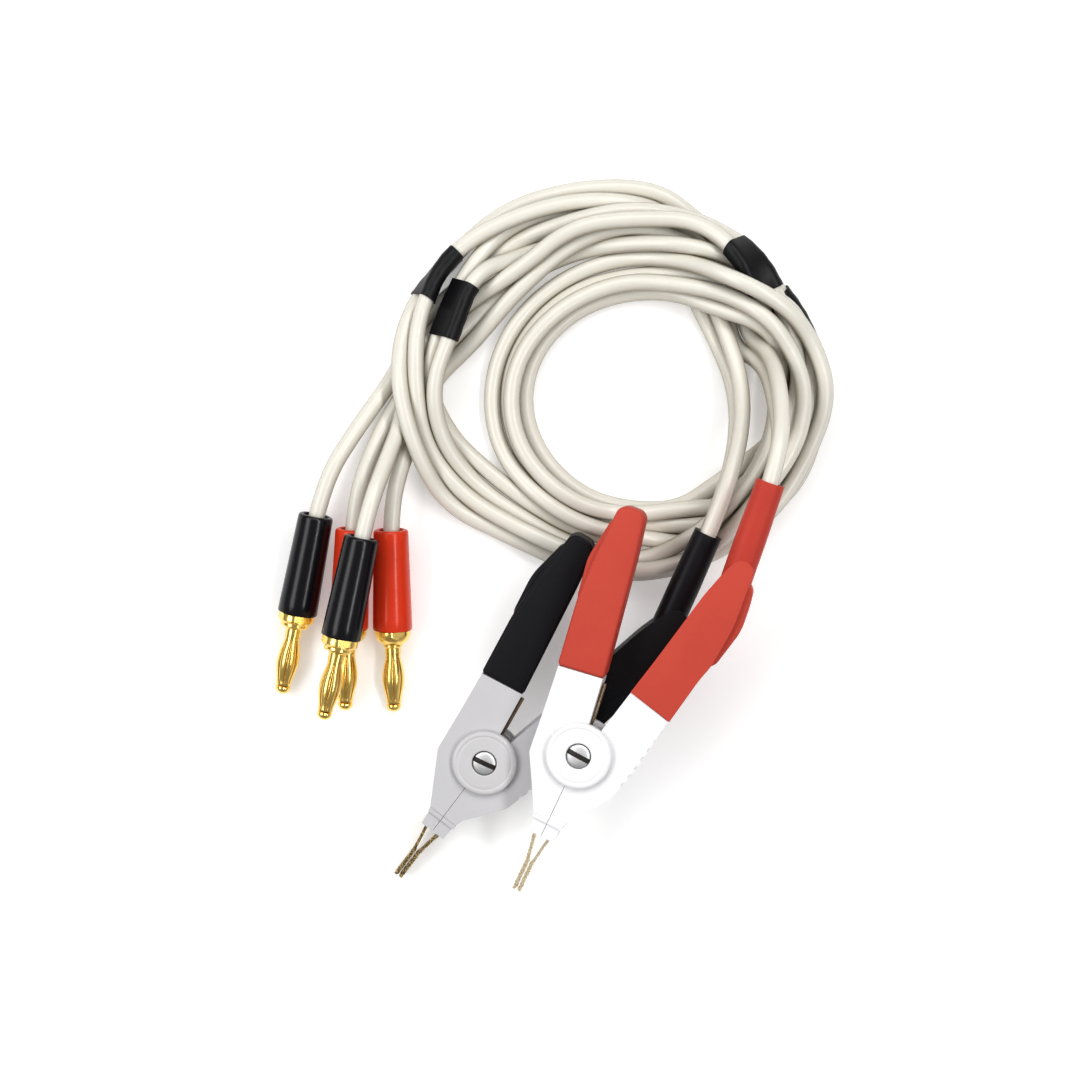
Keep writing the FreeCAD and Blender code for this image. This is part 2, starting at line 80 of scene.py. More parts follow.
def placeOf(name):
    facts = laid[name]
    move = Matrix.Translation(Vector(facts["pivot"]) * mm)
    turn = Matrix.Rotation(math.radians(-facts["turn"]), 4, "Z")
    lift = Matrix.Rotation(math.radians(facts["lift"]), 4, "X")
    roll = Matrix.Rotation(math.radians(-facts["roll"]), 4, "Y")
    return move @ turn @ lift @ roll


# camera, floor and light

view = {"place": (-0.0101, 0.0342, 0.55), "lens": 72.86, "sensor": 36.0}
camera = bpy.data.objects.new("camera", bpy.data.cameras.new("camera"))
camera.location = view["place"]
camera.data.lens = view["lens"]
camera.data.sensor_width = view["sensor"]
bpy.context.scene.collection.objects.link(camera)
bpy.context.scene.camera = camera

lamps = {
    "rightStrip": {"place": (0.40, 0.06, 0.78), "size": (1.0, 0.09), "power": 3.0},
    "leftSoftbox": {"place": (-0.62, 0.10, 0.72), "size": (0.9, 0.36), "power": 3.6},
    "backSoftbox": {"place": (0.0, 0.62, 0.80), "size": (0.8, 0.35), "power": 2.6},
}


def addLamp(name, facts):
    light = bpy.data.lights.new(name, "AREA")
    light.shape = "RECTANGLE"
    light.size, light.size_y = facts["size"]
    light.energy = facts["power"]
    lamp = bpy.data.objects.new(name, light)
    lamp.location = facts["place"]
    aim = Vector((0.0, 0.03, 0.0)) - Vector(facts["place"])
    lamp.rotation_euler = aim.to_track_quat("-Z", "Y").to_euler()
    bpy.context.scene.collection.objects.link(lamp)


for lampName, lampFacts in lamps.items():
    addLamp(lampName, lampFacts)

look = {"sky": 0.26, "exposure": 0.22, "gamma": 0.86}
sky = bpy.data.worlds.new("studioWhite")
sky.use_nodes = True
sky.node_tree.nodes["Background"].inputs["Color"].default_value = (1.0, 1.0, 1.0, 1.0)
sky.node_tree.nodes["Background"].inputs["Strength"].default_value = look["sky"]
bpy.context.scene.world = sky
display = bpy.context.scene.view_settings
display.view_transform = "Standard"
display.exposure = look["exposure"]
display.gamma = look["gamma"]
print("camera and lamps ready")


# finishes


class Wire:
    # one socket, so that shader sums read as sums
    def __init__(self, sheet, socket):
        self.sheet = sheet
        self.socket = socket

    def sum(self, operation, first, second):
        return self.sheet.add("ShaderNodeMath", {"operation": operation}, {0: first, 1: second})

    def __add__(self, other):
        return self.sum("ADD", self, other)

    def __radd__(self, other):
        return self.sum("ADD", other, self)

    def __sub__(self, other):
        return self.sum("SUBTRACT", self, other)

    def __rsub__(self, other):
        return self.sum("SUBTRACT", other, self)

    def __mul__(self, other):
        return self.sum("MULTIPLY", self, other)

    def __rmul__(self, other):
        return self.sum("MULTIPLY", other, self)


class Finish:
    # a material, its nodes added one by one
    def __init__(self, name):
        self.material = bpy.data.materials.new(name)
        self.material.use_nodes = True
        self.tree = self.material.node_tree
        self.shader = self.tree.nodes["Principled BSDF"]
        self.place = self.add("ShaderNodeTexCoord", {}, {}, "Object")

    def add(self, kind, settings, sockets, output=0):
        node = self.tree.nodes.new(kind)
        for key, value in settings.items():
            setattr(node, key, value)
        for key, value in sockets.items():
            self.feed(node.inputs[key], value)
        return Wire(self, node.outputs[output])

    def feed(self, socket, value):
        if isinstance(value, Wire):
            self.tree.links.new(value.socket, socket)
        else:
            socket.default_value = value

    def noise(self, scale, detail=3.0, roughness=0.5, place=None):
        sockets = {"Vector": place or self.place, "Scale": scale}
        sockets.update({"Detail": detail, "Roughness": roughness})
        return self.add("ShaderNodeTexNoise", {}, sockets)

    def along(self, name, stretch):
        # coordinates in a clip's or plug's own frame, stretched
        where = placeOf(name)
        turned = self.add(
            "ShaderNodeMapping",
            {"vector_type": "TEXTURE"},
            {"Vector": self.place, "Location": where.translation, "Rotation": where.to_euler()},
        )
        return self.add("ShaderNodeVectorMath", {"operation": "MULTIPLY"}, {0: turned, 1: stretch})

    def blendColours(self, share, first, second):
        first, second = (tone if isinstance(tone, Wire) else (*tone, 1.0) for tone in (first, second))
        sockets = {"Factor": share, 6: first, 7: second}
        return self.add("ShaderNodeMix", {"data_type": "RGBA"}, sockets, 2)

    def rise(self, value, low, high):
        # 0 below low, 1 above high, smooth between
        span = {"Value": value, "From Min": low, "From Max": high}
        return self.add("ShaderNodeMapRange", {"interpolation_type": "SMOOTHSTEP"}, span)

    def upPart(self, vector):
        return self.add("ShaderNodeSeparateXYZ", {}, {0: vector}, 2)

    def bump(self, height, strength, distance):
        sockets = {"Height": height, "Strength": strength, "Distance": distance}
        return self.add("ShaderNodeBump", {}, sockets)

    def set(self, **values):
        for key, value in values.items():
            self.feed(self.shader.inputs[key.replace("_", " ")], value)
        return self.material


def mouldedPlastic(name, pale, deep, shine, grain):
    # hard moulded plastic with a fine spark-eroded grain and faint flow clouds
    finish = Finish(name)
    clouds = finish.noise(90.0, 4.0, 0.6)
    flow = finish.noise(260.0, 2.0)
    fine = finish.noise(5200.0, 2.0, 0.7)
    return finish.set(
        Base_Color=finish.blendColours(clouds, pale, deep),
        Roughness=shine + 0.16 * (flow - 0.5) + 0.08 * (fine - 0.5),
        Normal=finish.bump(fine + flow * 0.6, grain, 0.00005),
        Specular_IOR_Level=0.45,
    )


def rubber(name, pale, deep, shine):
    # matt handle PVC: speckled grain, faint handling shine in patches
    finish = Finish(name)
    patches = finish.noise(70.0, 5.0, 0.55)
    speckle = finish.noise(3600.0, 3.0, 0.75)
    grit = finish.add("ShaderNodeTexVoronoi", {}, {"Vector": finish.place, "Scale": 4200.0}, 0)
    share = 0.75 * patches + 0.55 * speckle - 0.15
    colour = finish.blendColours(share, pale, deep)
    return finish.set(
        Base_Color=colour,
        Roughness=shine + 0.22 * (patches - 0.5) + 0.1 * (speckle - 0.5),
        Normal=finish.bump(speckle + grit * 0.5, 0.35, 0.00006),
        Specular_IOR_Level=0.25,
    )


def glossySleeve(name, frameName, pale, deep):
    # turned and polished sleeve plastic: fine lengthwise drag lines, light scuffs
    finish = Finish(name)
    lengthwise = finish.noise(1.0, 3.0, 0.6, finish.along(frameName, (1500.0, 60.0, 1500.0)))
    scuffs = finish.noise(1.0, 6.0, 0.75, finish.along(frameName, (240.0, 900.0, 240.0)))
    clouds = finish.noise(120.0, 3.0)
    colour = finish.blendColours(clouds * 0.7 + scuffs * 0.3, pale, deep)
    return finish.set(
        Base_Color=colour,
        Roughness=0.13 + 0.14 * scuffs + 0.05 * lengthwise,
        Normal=finish.bump(lengthwise * 0.7 + scuffs * 0.3, 0.12, 0.00004),
        Specular_IOR_Level=0.4,
    )


def goldPlate(name, frameName, shine, grain):
    # plated brass: turning lines round the axis, slightly uneven plating
    finish = Finish(name)
    turning = finish.noise(1.0, 2.0, 0.6, finish.along(frameName, (60.0, 5200.0, 60.0)))
    uneven = finish.noise(420.0, 4.0, 0.6)
    pits = finish.noise(4200.0, 2.0, 0.8)
    colour = finish.blendColours(uneven * 0.8 + turning * 0.3, (1.0, 0.83, 0.34), (1.0, 0.64, 0.15))
    return finish.set(
        Base_Color=colour,
        Metallic=1.0,
        Roughness=shine + 0.14 * uneven + 0.08 * turning,
        Normal=finish.bump(turning * 0.5 + pits * grain, 0.3, 0.00004),
    )


def bladePlate(name, frameName, pale, deep, share):
    # thin gold over toothed brass: a stretched pattern across the teeth stands for the recesses, where
    # painted shade darkens the colour to dull brown and the plating is duller and less metallic; the
    # crests stay bright
    finish = Finish(name)
    crests = finish.noise(1.0, 1.0, 0.6, finish.along(frameName, (2100.0, 2500.0, 450.0)))
    pits = finish.noise(3600.0, 2.0, 0.8)
    # painted shade: the low parts of the pattern take the dark colour, the high parts the bright one
    wearAndPaintedShade = finish.rise(crests * 0.8 + pits * 0.2, share - 0.1, share + 0.1)
    return finish.set(
        Base_Color=finish.blendColours(wearAndPaintedShade, deep, pale),
        Metallic=0.55 + 0.35 * wearAndPaintedShade,
        Roughness=0.5 - 0.2 * wearAndPaintedShade,
        Normal=finish.bump(crests + pits * 0.3, 0.35, 0.00008),
    )


def turnedSteel(name, frameName):
    # turned screw steel: rings round the axis, dull spots, and painted shade in the slot
    finish = Finish(name)
    local = finish.along(frameName, (1000.0, 1000.0, 1000.0))
    rings = finish.add(
        "ShaderNodeTexWave",
        {"wave_type": "RINGS", "rings_direction": "Z"},
        {"Vector": local, "Scale": 1.6, "Distortion": 0.6, "Detail": 2.0},
        1,
    )
    spots = finish.noise(900.0, 4.0, 0.6)
    bright = finish.blendColours(spots, (0.82, 0.82, 0.82), (0.6, 0.6, 0.61))
    # painted shade: the slot's floor, found by its height in the clip's frame, is painted near black as
    # if in shadow
    outsideSlotShade = finish.rise(finish.upPart(local), 5.55, 5.95)
    colour = finish.blendColours(outsideSlotShade, (0.07, 0.065, 0.06), bright)
    return finish.set(
        Base_Color=colour,
        Metallic=1.0,
        Roughness=0.4 + 0.18 * spots,
        Normal=finish.bump(rings + spots * 0.4, 0.15, 0.00004),
    )


def springWire(name, frameName):
    # drawn and tempered wire: brown oxide film, thin where it rubs
    finish = Finish(name)
    drawn = finish.noise(1.0, 3.0, 0.6, finish.along(frameName, (2600.0, 500.0, 2600.0)))
    film = finish.noise(650.0, 4.0, 0.65)
    colour = finish.blendColours(film, (0.48, 0.37, 0.26), (0.20, 0.13, 0.08))
    return finish.set(
        Base_Color=colour,
        Metallic=0.9,
        Roughness=0.26 + 0.2 * film,
        Normal=finish.bump(drawn, 0.2, 0.00004),
    )


def leadJacket(name):
    # ivory flexible PVC: soft sheen, faint handling marks, slight lay of the cores beneath, and painted
    # shade on the flanks
    finish = Finish(name)
    marks = finish.noise(45.0, 6.0, 0.65)
    smudge = finish.noise(400.0, 3.0, 0.6)
    skin = finish.noise(2600.0, 3.0, 0.6)
    wearAndPaintedShade = finish.blendColours(marks * 0.7 + smudge * 0.3, (0.83, 0.81, 0.74), (0.72, 0.69, 0.61))
    # painted shade: the flanks, turned away from the light above, are painted a deeper brown tone by the
    # way they face, and the tops keep the lighter marked colour
    paintedShadeFacing = finish.add("ShaderNodeTexCoord", {}, {}, "Normal")
    top = finish.rise(finish.upPart(paintedShadeFacing), 0.1, 0.8)
    colour = finish.blendColours(top, (0.43, 0.39, 0.31), wearAndPaintedShade)
    return finish.set(
        Base_Color=colour,
        Roughness=0.27 + 0.18 * smudge + 0.06 * skin,
        Normal=finish.bump(skin + smudge * 0.8, 0.16, 0.00005),
        Specular_IOR_Level=0.7,
        Coat_Weight=0.3,
        Coat_Roughness=0.16,
        Subsurface_Weight=0.06,
        Subsurface_Radius=(0.001, 0.0008, 0.0005),
        Subsurface_Scale=1.0,
    )


def shrinkTube(name):
    # recovered heat-shrink: black satin skin, small puckers
    finish = Finish(name)
    puckers = finish.noise(520.0, 4.0, 0.6)
    skin = finish.noise(3200.0, 2.0, 0.6)
    dust = finish.noise(160.0, 5.0, 0.7)
    colour = finish.blendColours(dust * 0.8, (0.003, 0.003, 0.004), (0.009, 0.009, 0.011))
    return finish.set(
        Base_Color=colour,
        Specular_IOR_Level=0.35,
        Roughness=0.30 + 0.22 * dust + 0.06 * skin,
        Normal=finish.bump(puckers + skin * 0.4, 0.35, 0.00012),
    )


def coreInsulation(name, pale, deep):
    # thin extruded insulation on the wires inside the clips
    finish = Finish(name)
    marks = finish.noise(300.0, 4.0, 0.6)
    skin = finish.noise(3000.0, 2.0)
    return finish.set(
        Base_Color=finish.blendColours(marks, pale, deep),
        Roughness=0.35 + 0.2 * marks,
        Normal=finish.bump(skin, 0.2, 0.00004),
    )


finishes = {
    "redBody": mouldedPlastic("whiteMoulding", (0.90, 0.90, 0.91), (0.84, 0.84, 0.85), 0.42, 0.25),
    "blackBody": mouldedPlastic("greyMoulding", (0.62, 0.612, 0.625), (0.57, 0.562, 0.575), 0.44, 0.3),
    "redCap": mouldedPlastic("whiteCap", (0.90, 0.90, 0.91), (0.85, 0.85, 0.86), 0.34, 0.15),
    "blackCap": mouldedPlastic("greyCap", (0.64, 0.632, 0.64), (0.59, 0.582, 0.59), 0.34, 0.15),
    "redGrip": rubber("redGripPvc", (0.62, 0.092, 0.060), (0.50, 0.068, 0.044), 0.6),
    "blackGrip": rubber("blackGripPvc", (0.009, 0.009, 0.012), (0.004, 0.004, 0.006), 0.52),
    "redBoot": rubber("redBootPvc", (0.58, 0.070, 0.045), (0.46, 0.050, 0.032), 0.5),
    "blackBoot": rubber("blackBootPvc", (0.008, 0.008, 0.011), (0.003, 0.003, 0.005), 0.44),
    "leadJacket": leadJacket("ivoryJacket"),
    "shrink": shrinkTube("blackShrink"),
    "redCore": coreInsulation("redCoreInsulation", (0.62, 0.05, 0.04), (0.5, 0.03, 0.03)),
    "blackCore": coreInsulation("blackCoreInsulation", (0.02, 0.02, 0.02), (0.01, 0.01, 0.01)),
}
for colour in ("red", "black"):
    finishes[colour + "Steel"] = turnedSteel(colour + "ScrewSteel", colour)
    finishes[colour + "Spring"] = springWire(colour + "SpringWire", colour)
    tones = ((0.85, 0.66, 0.33), (0.10, 0.060, 0.018), 0.52)
    if colour == "red":
        tones = ((1.0, 0.90, 0.68), (0.48, 0.30, 0.12), 0.42)
    finishes[colour + "Blade"] = bladePlate(colour + "BladeGold", colour, *tones)
    for side in ("left", "right"):
        plugName = colour + "_" + side
        grain = 0.7 if colour == "black" else 0.15
        finishes[plugName + "Gold"] = goldPlate(plugName + "Gold", plugName, 0.12, grain)
        tones = ((0.0035, 0.0035, 0.005), (0.009, 0.009, 0.012))
        if colour == "red":
            tones = ((0.80, 0.070, 0.020), (0.68, 0.045, 0.014))
        finishes[plugName + "Sleeve"] = glossySleeve(plugName + "SleevePlastic", plugName, *tones)

floorFinish = Finish("paperFloor")
paper = floorFinish.noise(700.0, 5.0, 0.6)
floorFinish.set(
    Base_Color=floorFinish.blendColours(paper, (0.80, 0.80, 0.80), (0.78, 0.78, 0.78)),
    Emission_Color=floorFinish.blendColours(paper, (1.0, 1.0, 1.0), (0.98, 0.98, 0.98)),
    Emission_Strength=0.3,
    Roughness=0.85 + 0.1 * paper,
    Normal=floorFinish.bump(paper, 0.05, 0.0002),
    Specular_IOR_Level=0.1,
)
print("finishes ready:", len(finishes))


# making and finishing pieces


def startClean():
    if bpy.context.mode != "OBJECT":
        bpy.ops.object.mode_set(mode="OBJECT")
    bpy.ops.object.select_all(action="DESELECT")


def giveFinish(piece, finish):
    piece.data.materials.clear()
    piece.data.materials.append(finish)


def useModifier(piece, kind, **values):
    modifier = piece.modifiers.new(kind.title(), kind)
    for key, value in values.items():
        setattr(modifier, key, value)
    bpy.context.view_layer.objects.active = piece
    bpy.ops.object.modifier_apply(modifier=modifier.name)


def smoothPiece(piece, degrees=35.0):
    startClean()
    piece.select_set(True)
    bpy.context.view_layer.objects.active = piece
    bpy.ops.object.shade_smooth_by_angle(angle=math.radians(degrees))


def bevelAngles(piece, width, segments, degrees):
    angle = math.radians(degrees)
    useModifier(piece, "BEVEL", width=width, segments=segments, limit_method="ANGLE", angle_limit=angle)


def camelName(name):
    words = name.split("_")
    return words[0] + "".join(word.title() for word in words[1:])


def settlePiece(piece, node, place, finish, slot, name="", rides=True):
    # a piece takes the place, the body and the name of the CAD node that it stands for:
    # its mesh moves, and the object stays at the origin
    piece.name = name or camelName(node)
    piece.data.name = piece.name
    piece.data.transform(piece.matrix_world)
    piece.matrix_world = Matrix.Identity(4)
    piece.data.transform(Matrix.Scale(mm, 4))
    piece.data.transform(place)
    piece.data.update()
    giveFinish(piece, finish)
    if rides:
        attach(piece, nodes[node]["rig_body"])
    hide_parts(node)
    return piece


def closeShape():
    # normals outwards, and the place put into the mesh
    bpy.ops.mesh.select_all(action="SELECT")
    bpy.ops.mesh.remove_doubles(threshold=0.0005)
    bpy.ops.mesh.normals_make_consistent(inside=False)
    bpy.ops.object.mode_set(mode="OBJECT")
    piece = bpy.context.view_layer.objects.active
    piece.data.transform(piece.matrix_world)
    piece.matrix_world = Matrix.Identity(4)
    return piece


def turnShape(profile, sides):
    # a disc pulled along +Z and resized station by station; profile is (radius, height) pairs,
    # and one that comes back to its first pair makes a ring
    startClean()
    radius, height = profile[0]
    hollow = profile[0] == profile[-1]
    fill = "NOTHING" if hollow else "NGON"
    bpy.ops.mesh.primitive_circle_add(
        vertices=sides, radius=radius, fill_type=fill, location=(0, 0, height)
    )
    bpy.ops.object.mode_set(mode="EDIT")
    bpy.ops.mesh.select_mode(type="EDGE" if hollow else "FACE")
    for (before, low), (after, high) in zip(profile, profile[1:]):
        bpy.ops.mesh.extrude_region_move(TRANSFORM_OT_translate={"value": (0, 0, high - low)})
        share = after / before
        bpy.ops.transform.resize(value=(share, share, 1), center_override=(0, 0, high))
    return closeShape()


def drawBlock(outline, low, high):
    # an outline drawn corner by corner, filled, and pulled up
    startClean()
    x, y = outline[0]
    bpy.ops.mesh.primitive_plane_add(size=0.5, location=(x, y, low))
    bpy.ops.object.mode_set(mode="EDIT")
    bpy.ops.mesh.select_mode(type="VERT")
    bpy.ops.mesh.merge(type="CENTER")
    for start, end in zip(outline, outline[1:]):
        step = (end[0] - start[0], end[1] - start[1], 0)
        bpy.ops.mesh.extrude_vertices_move(TRANSFORM_OT_translate={"value": step})
    bpy.ops.mesh.select_all(action="SELECT")
    bpy.ops.mesh.edge_face_add()
    bpy.ops.mesh.select_all(action="SELECT")
    bpy.ops.mesh.extrude_region_move(TRANSFORM_OT_translate={"value": (0, 0, high - low)})
    return closeShape()


def combine(piece, tool, operation):
    useModifier(piece, "BOOLEAN", operation=operation, object=tool, solver="EXACT")
    bpy.data.objects.remove(tool)


def drillHole(piece, sides, radius, depth, place, turn=(0, 0, 0)):
    startClean()
    bpy.ops.mesh.primitive_cylinder_add(
        vertices=sides, radius=radius, depth=depth, location=place, rotation=turn
    )
    combine(piece, bpy.context.view_layer.objects.active, "DIFFERENCE")


def drawBar(name, points, radius, along, around):
    # a round bar along a smooth curve
    curve = bpy.data.curves.new(name, "CURVE")
    curve.dimensions = "3D"
    spline = curve.splines.new("NURBS")
    spline.points.add(len(points) - 1)
    for point, place in zip(spline.points, points):
        point.co = (*place, 1.0)
    spline.order_u = 3
    spline.use_endpoint_u = True
    spline.resolution_u = along
    curve.bevel_depth = radius
    curve.bevel_resolution = around
    curve.use_fill_caps = True
    bar = bpy.data.objects.new(name, curve)
    bpy.context.scene.collection.objects.link(bar)
    return bar


def copyPiece(piece):
    twin = piece.copy()
    twin.data = piece.data.copy()
    bpy.context.scene.collection.objects.link(twin)
    return twin


# the lathe's axis is +Z; a plug's own axis is +Y
alongPlug = Matrix.Rotation(math.radians(-90.0), 4, "X")

startClean()
bpy.ops.mesh.primitive_plane_add(size=6.0, location=(0, 0, -0.00005))
floor = bpy.context.view_layer.objects.active
floor.name = "floor"
giveFinish(floor, floorFinish.material)


# plugs: a threaded barrel, collar, neck, pin and ball in one core, a slit lantern and a sleeve

plugSize = {
    "sides": 80, "barrel": 3.5, "barrelLong": 18.0, "threadPitch": 0.75, "threadDeep": 0.22,
    "pin": 1.2, "flatAcross": 8.15, "flatTurn": 24.0, "knurlDeep": 0.07, "knurlPitch": 0.25,
    "tipGroove": 0.09, "screwHole": 1.3, "screwAt": 6.0,
}
lanternSize = {
    "leaves": 8, "columns": 6, "steps": 18, "front": -18.45, "back": -6.0, "bulge": 2.74, "ends": 1.9,
    "slitEnds": 1.0, "wall": 0.4, "crown": 0.13,
}
sleeveSize = {
    "front": 4.9, "rear": 4.3, "long": 25.0, "bore": 3.6, "boreLong": 18.9, "leadHole": 3.1, "sides": 96,
}
# radius and distance in front of the sleeve
collarShape = {
    "black": [
        (4.5, 0.1), (4.5, 0.35), (4.5, 0.6), (4.5, 0.85), (4.5, 1.1), (4.5, 1.35), (4.5, 1.6),
        (4.42, 1.8), (4.1, 2.1), (3.62, 2.25), (3.5, 2.45), (3.5, 3.1), (3.3, 3.45), (2.7, 3.65),
        (2.2, 3.75), (2.0, 3.95), (2.0, 5.9),
    ],
    "red": [
        (4.5, 0.1), (4.5, 0.9), (4.45, 1.3), (4.3, 1.75), (4.05, 2.25), (3.7, 2.75), (3.2, 3.2),
        (2.7, 3.5), (2.45, 3.62), (2.45, 4.0), (2.3, 4.2), (2.0, 4.4), (2.0, 5.9),
    ],
}
tipShape = [
    (1.45, 18.62), (1.75, 18.85), (1.85, 19.2), (1.8, 19.6), (1.62, 20.0), (1.3, 20.35), (0.9, 20.58),
    (0.4, 20.68),
]


def reshape(piece, rule):
    # rule takes angle, height and radius, and gives the new radius
    for vertex in piece.data.vertices:
        x, y, z = vertex.co
        radius = math.hypot(x, y)
        if radius > 0.01:
            share = rule(math.atan2(y, x), z, radius) / radius
            vertex.co = (x * share, y * share, z)


def makeCore(colour):
    size = plugSize
    long = size["barrelLong"]
    rings = round(long / size["threadPitch"] * 4)
    profile = [(1.6, long), (3.1, long)]
    profile += [(size["barrel"], (long - 0.2) - (long - 0.4) * i / rings) for i in range(rings + 1)]
    pin = [(size["pin"], 5.95), (size["pin"], 18.5)]
    profile += [(radius, -ahead) for radius, ahead in collarShape[colour] + pin + tipShape]
    core = turnShape(profile, size["sides"])

    def rule(angle, height, radius):
        if 0.3 < height < long - 0.3:
            phase = (height / size["threadPitch"] + angle / (2 * math.pi)) % 1
            return radius - size["threadDeep"] * abs(2 * phase - 1)
        if -2.3 < height < 0:
            # four spanner flats, and between them a fine knurl on the black plugs' collar
            away = (angle - math.radians(size["flatTurn"]) + math.pi / 4) % (math.pi / 2) - math.pi / 4
            flat = size["flatAcross"] / 2 / math.cos(away)
            if flat < radius:
                return flat
            if colour == "black" and -1.7 < height < -0.2:
                column = round(angle / (2 * math.pi) * size["sides"])
                return radius - size["knurlDeep"] * ((column + round(-height / size["knurlPitch"])) % 2)
        if -20.3 < height < -19.0:
            return radius - size["tipGroove"] * max(0.0, math.cos(angle * 5)) ** 6
        return radius

    reshape(core, rule)
    drillHole(core, 24, size["screwHole"], 3, (0, -size["barrel"], size["screwAt"]), (math.pi / 2, 0, 0))
    smoothPiece(core, 28.0)
    return core


def makePlugSleeve():
    size = sleeveSize
    front, rear, long, bore, hole = (size[key] for key in ("front", "rear", "long", "bore", "leadHole"))
    profile = [(bore, 0), (front - 0.45, 0), (front - 0.12, 0.08), (front, 0.35)]
    profile += [(front + (rear - front) * i / 8, 0.35 + (long - 1.05) * i / 8) for i in range(1, 9)]
    profile += [(rear - 0.1, long - 0.35), (rear - 0.32, long - 0.1), (rear - 0.65, long)]
    profile += [(hole + 0.3, long), (hole, long - 0.3)]
    profile += [(hole, size["boreLong"] + 0.6), (bore, size["boreLong"]), (bore, 0)]
    sleeve = turnShape(profile, size["sides"])
    smoothPiece(sleeve, 30.0)
    return sleeve


def makeLantern():
    size = lanternSize
    front, back, steps = size["front"], size["back"], size["steps"]
    profile = []
    for i in range(steps + 1):
        height = back + (front - back) * i / steps
        swell = math.sin(math.pi * min(1, max(0, (i - 1.5) / (steps - 3)))) ** 1.15
        profile.append((size["ends"] + (size["bulge"] - size["ends"]) * swell, height))
    sides = size["leaves"] * size["columns"]
    lantern = turnShape(profile, sides)
    # open both ends and cut the slits between the leaves
    bpy.context.view_layer.objects.active = lantern
    lantern.select_set(True)
    bpy.ops.object.mode_set(mode="EDIT")
    mesh = bmesh.from_edit_mesh(lantern.data)
    for face in mesh.faces:
        middle = face.calc_center_median()
        column = int((math.atan2(middle.y, middle.x) / (2 * math.pi) * sides) % sides)
        inside = front + size["slitEnds"] < middle.z < back - size["slitEnds"]
        slit = column % size["columns"] == 0 and inside
        face.select_set(slit or len(face.verts) > 4)
    bmesh.update_edit_mesh(lantern.data)
    bpy.ops.mesh.delete(type="FACE")
    bpy.ops.object.mode_set(mode="OBJECT")

    def rule(angle, height, radius):
        column = (angle / (2 * math.pi) * sides - 0.5) % size["columns"]
        away = abs(column - size["columns"] / 2) / (size["columns"] / 2)
        middle = max(0.0, math.sin(math.pi * (height - front) / (back - front)))
        return radius + size["crown"] * (0.6 - away**2) * middle

    reshape(lantern, rule)
    useModifier(lantern, "SOLIDIFY", thickness=size["wall"], offset=-1.0)
    bevelAngles(lantern, 0.07, 2, 50)
    smoothPiece(lantern, 40.0)
    return lantern


startClean()
shapedCores = {colour: makeCore(colour) for colour in collarShape}
shapedLantern = makeLantern()
shapedSleeve = makePlugSleeve()
plugPieces = {}
for plugName in ("black_left", "black_right", "red_left", "red_right"):
    colour = plugName.split("_")[0]
    node = plugName + "_plug_"
    gold, plastic = finishes[plugName + "Gold"], finishes[plugName + "Sleeve"]
    clampScrew = nodes[node + "clamp_screw"]
    place = placeOf(plugName) @ alongPlug
    core = settlePiece(copyPiece(shapedCores[colour]), node + "core", place, gold, "gold")
    leaves = settlePiece(copyPiece(shapedLantern), node + "lantern", place, gold, "gold")
    sleeve = settlePiece(copyPiece(shapedSleeve), node + "sleeve", place, plastic, colour + "_sleeve")
    giveFinish(clampScrew, finishes[colour + "Steel"])
    plugPieces[plugName] = [core, leaves, sleeve, clampScrew]
for shaped in (*shapedCores.values(), shapedLantern, shapedSleeve):
    bpy.data.objects.remove(shaped)
print("plugs ready")


# clips: caps, screws, springs, grips, boots and blades, and finishes for the CAD halves

capSize = {"radius": 7.95, "low": 4.43, "high": 1.87, "hole": 3.05, "recess": 1.2, "sides": 96}
screwSize = {"head": 2.9, "shaft": 1.5, "plane": 5.1, "slotWide": 1.2, "slotDeep": 0.8, "sides": 64}
slotTurns = {"red": -3.0, "black": 12.0}
springSize = {
    "wire": 1.0, "radius": 3.7, "pitch": 1.3, "firstAngle": 164.5, "sweep": 571.0,
    "movingLeg": [(-2.0, 17.6, 0.2), (-1.3, 12.0, 0.2), (-0.75, 8.2, 0.1), (-1.4, 5.4, -0.4)],
    "fixedLeg": [(3.3, 5.2, 0.5), (3.6, 7.6, 0.3), (4.5, 12.0, 0.2), (5.2, 16.0, 0.2)],
}


def makeCap():
    size = capSize
    low, edge, hole = size["low"], size["radius"], size["hole"]
    top = low + size["high"]
    floorLevel = top - size["recess"]
    # rounded rim, and a ring line inside it
    rim = [
        (0, 0.85), (0.07, 0.5), (0.26, 0.22), (0.55, 0.05), (0.85, 0), (1.2, 0.02), (1.32, 0.12),
        (1.45, 0.14), (1.6, 0.06), (1.9, 0.03),
    ]
    face = [(4.6, 0.05), (3.5, 0.03), (3.25, 0.04), (3.1, 0.12)]
    profile = [(1.56, low), (edge - 0.2, low), (edge, low + 0.15)]
    profile += [(edge - inward, top - down) for inward, down in rim]
    profile += [(radius, top - down) for radius, down in face]
    profile += [(hole, top - 0.3), (hole, floorLevel), (1.56, floorLevel)]
    cap = turnShape(profile, size["sides"])
    smoothPiece(cap, 40.0)
    return cap


def makeScrew(slotTurn):
    size = screwSize
    plane = size["plane"]
    dome = ((size["head"], 0.55), (2.82, 0.74), (2.6, 0.9), (2.1, 1.03), (1.3, 1.12), (0.5, 1.15))
    profile = [(size["shaft"], -plane - 1.1), (size["shaft"], plane), (size["head"], plane)]
    profile += [(radius, plane + up) for radius, up in dome]
    screw = turnShape(profile, size["sides"])
    half = size["slotWide"] / 2
    bottom = plane + 1.1 - size["slotDeep"]
    slot = drawBlock([(-4, -half), (4, -half), (4, half), (-4, half)], bottom, plane + 3)
    slot.data.transform(Matrix.Rotation(math.radians(slotTurn), 4, "Z"))
    combine(screw, slot, "DIFFERENCE")
    bevelAngles(screw, 0.05, 2, 60)
    smoothPiece(screw, 35.0)
    return screw


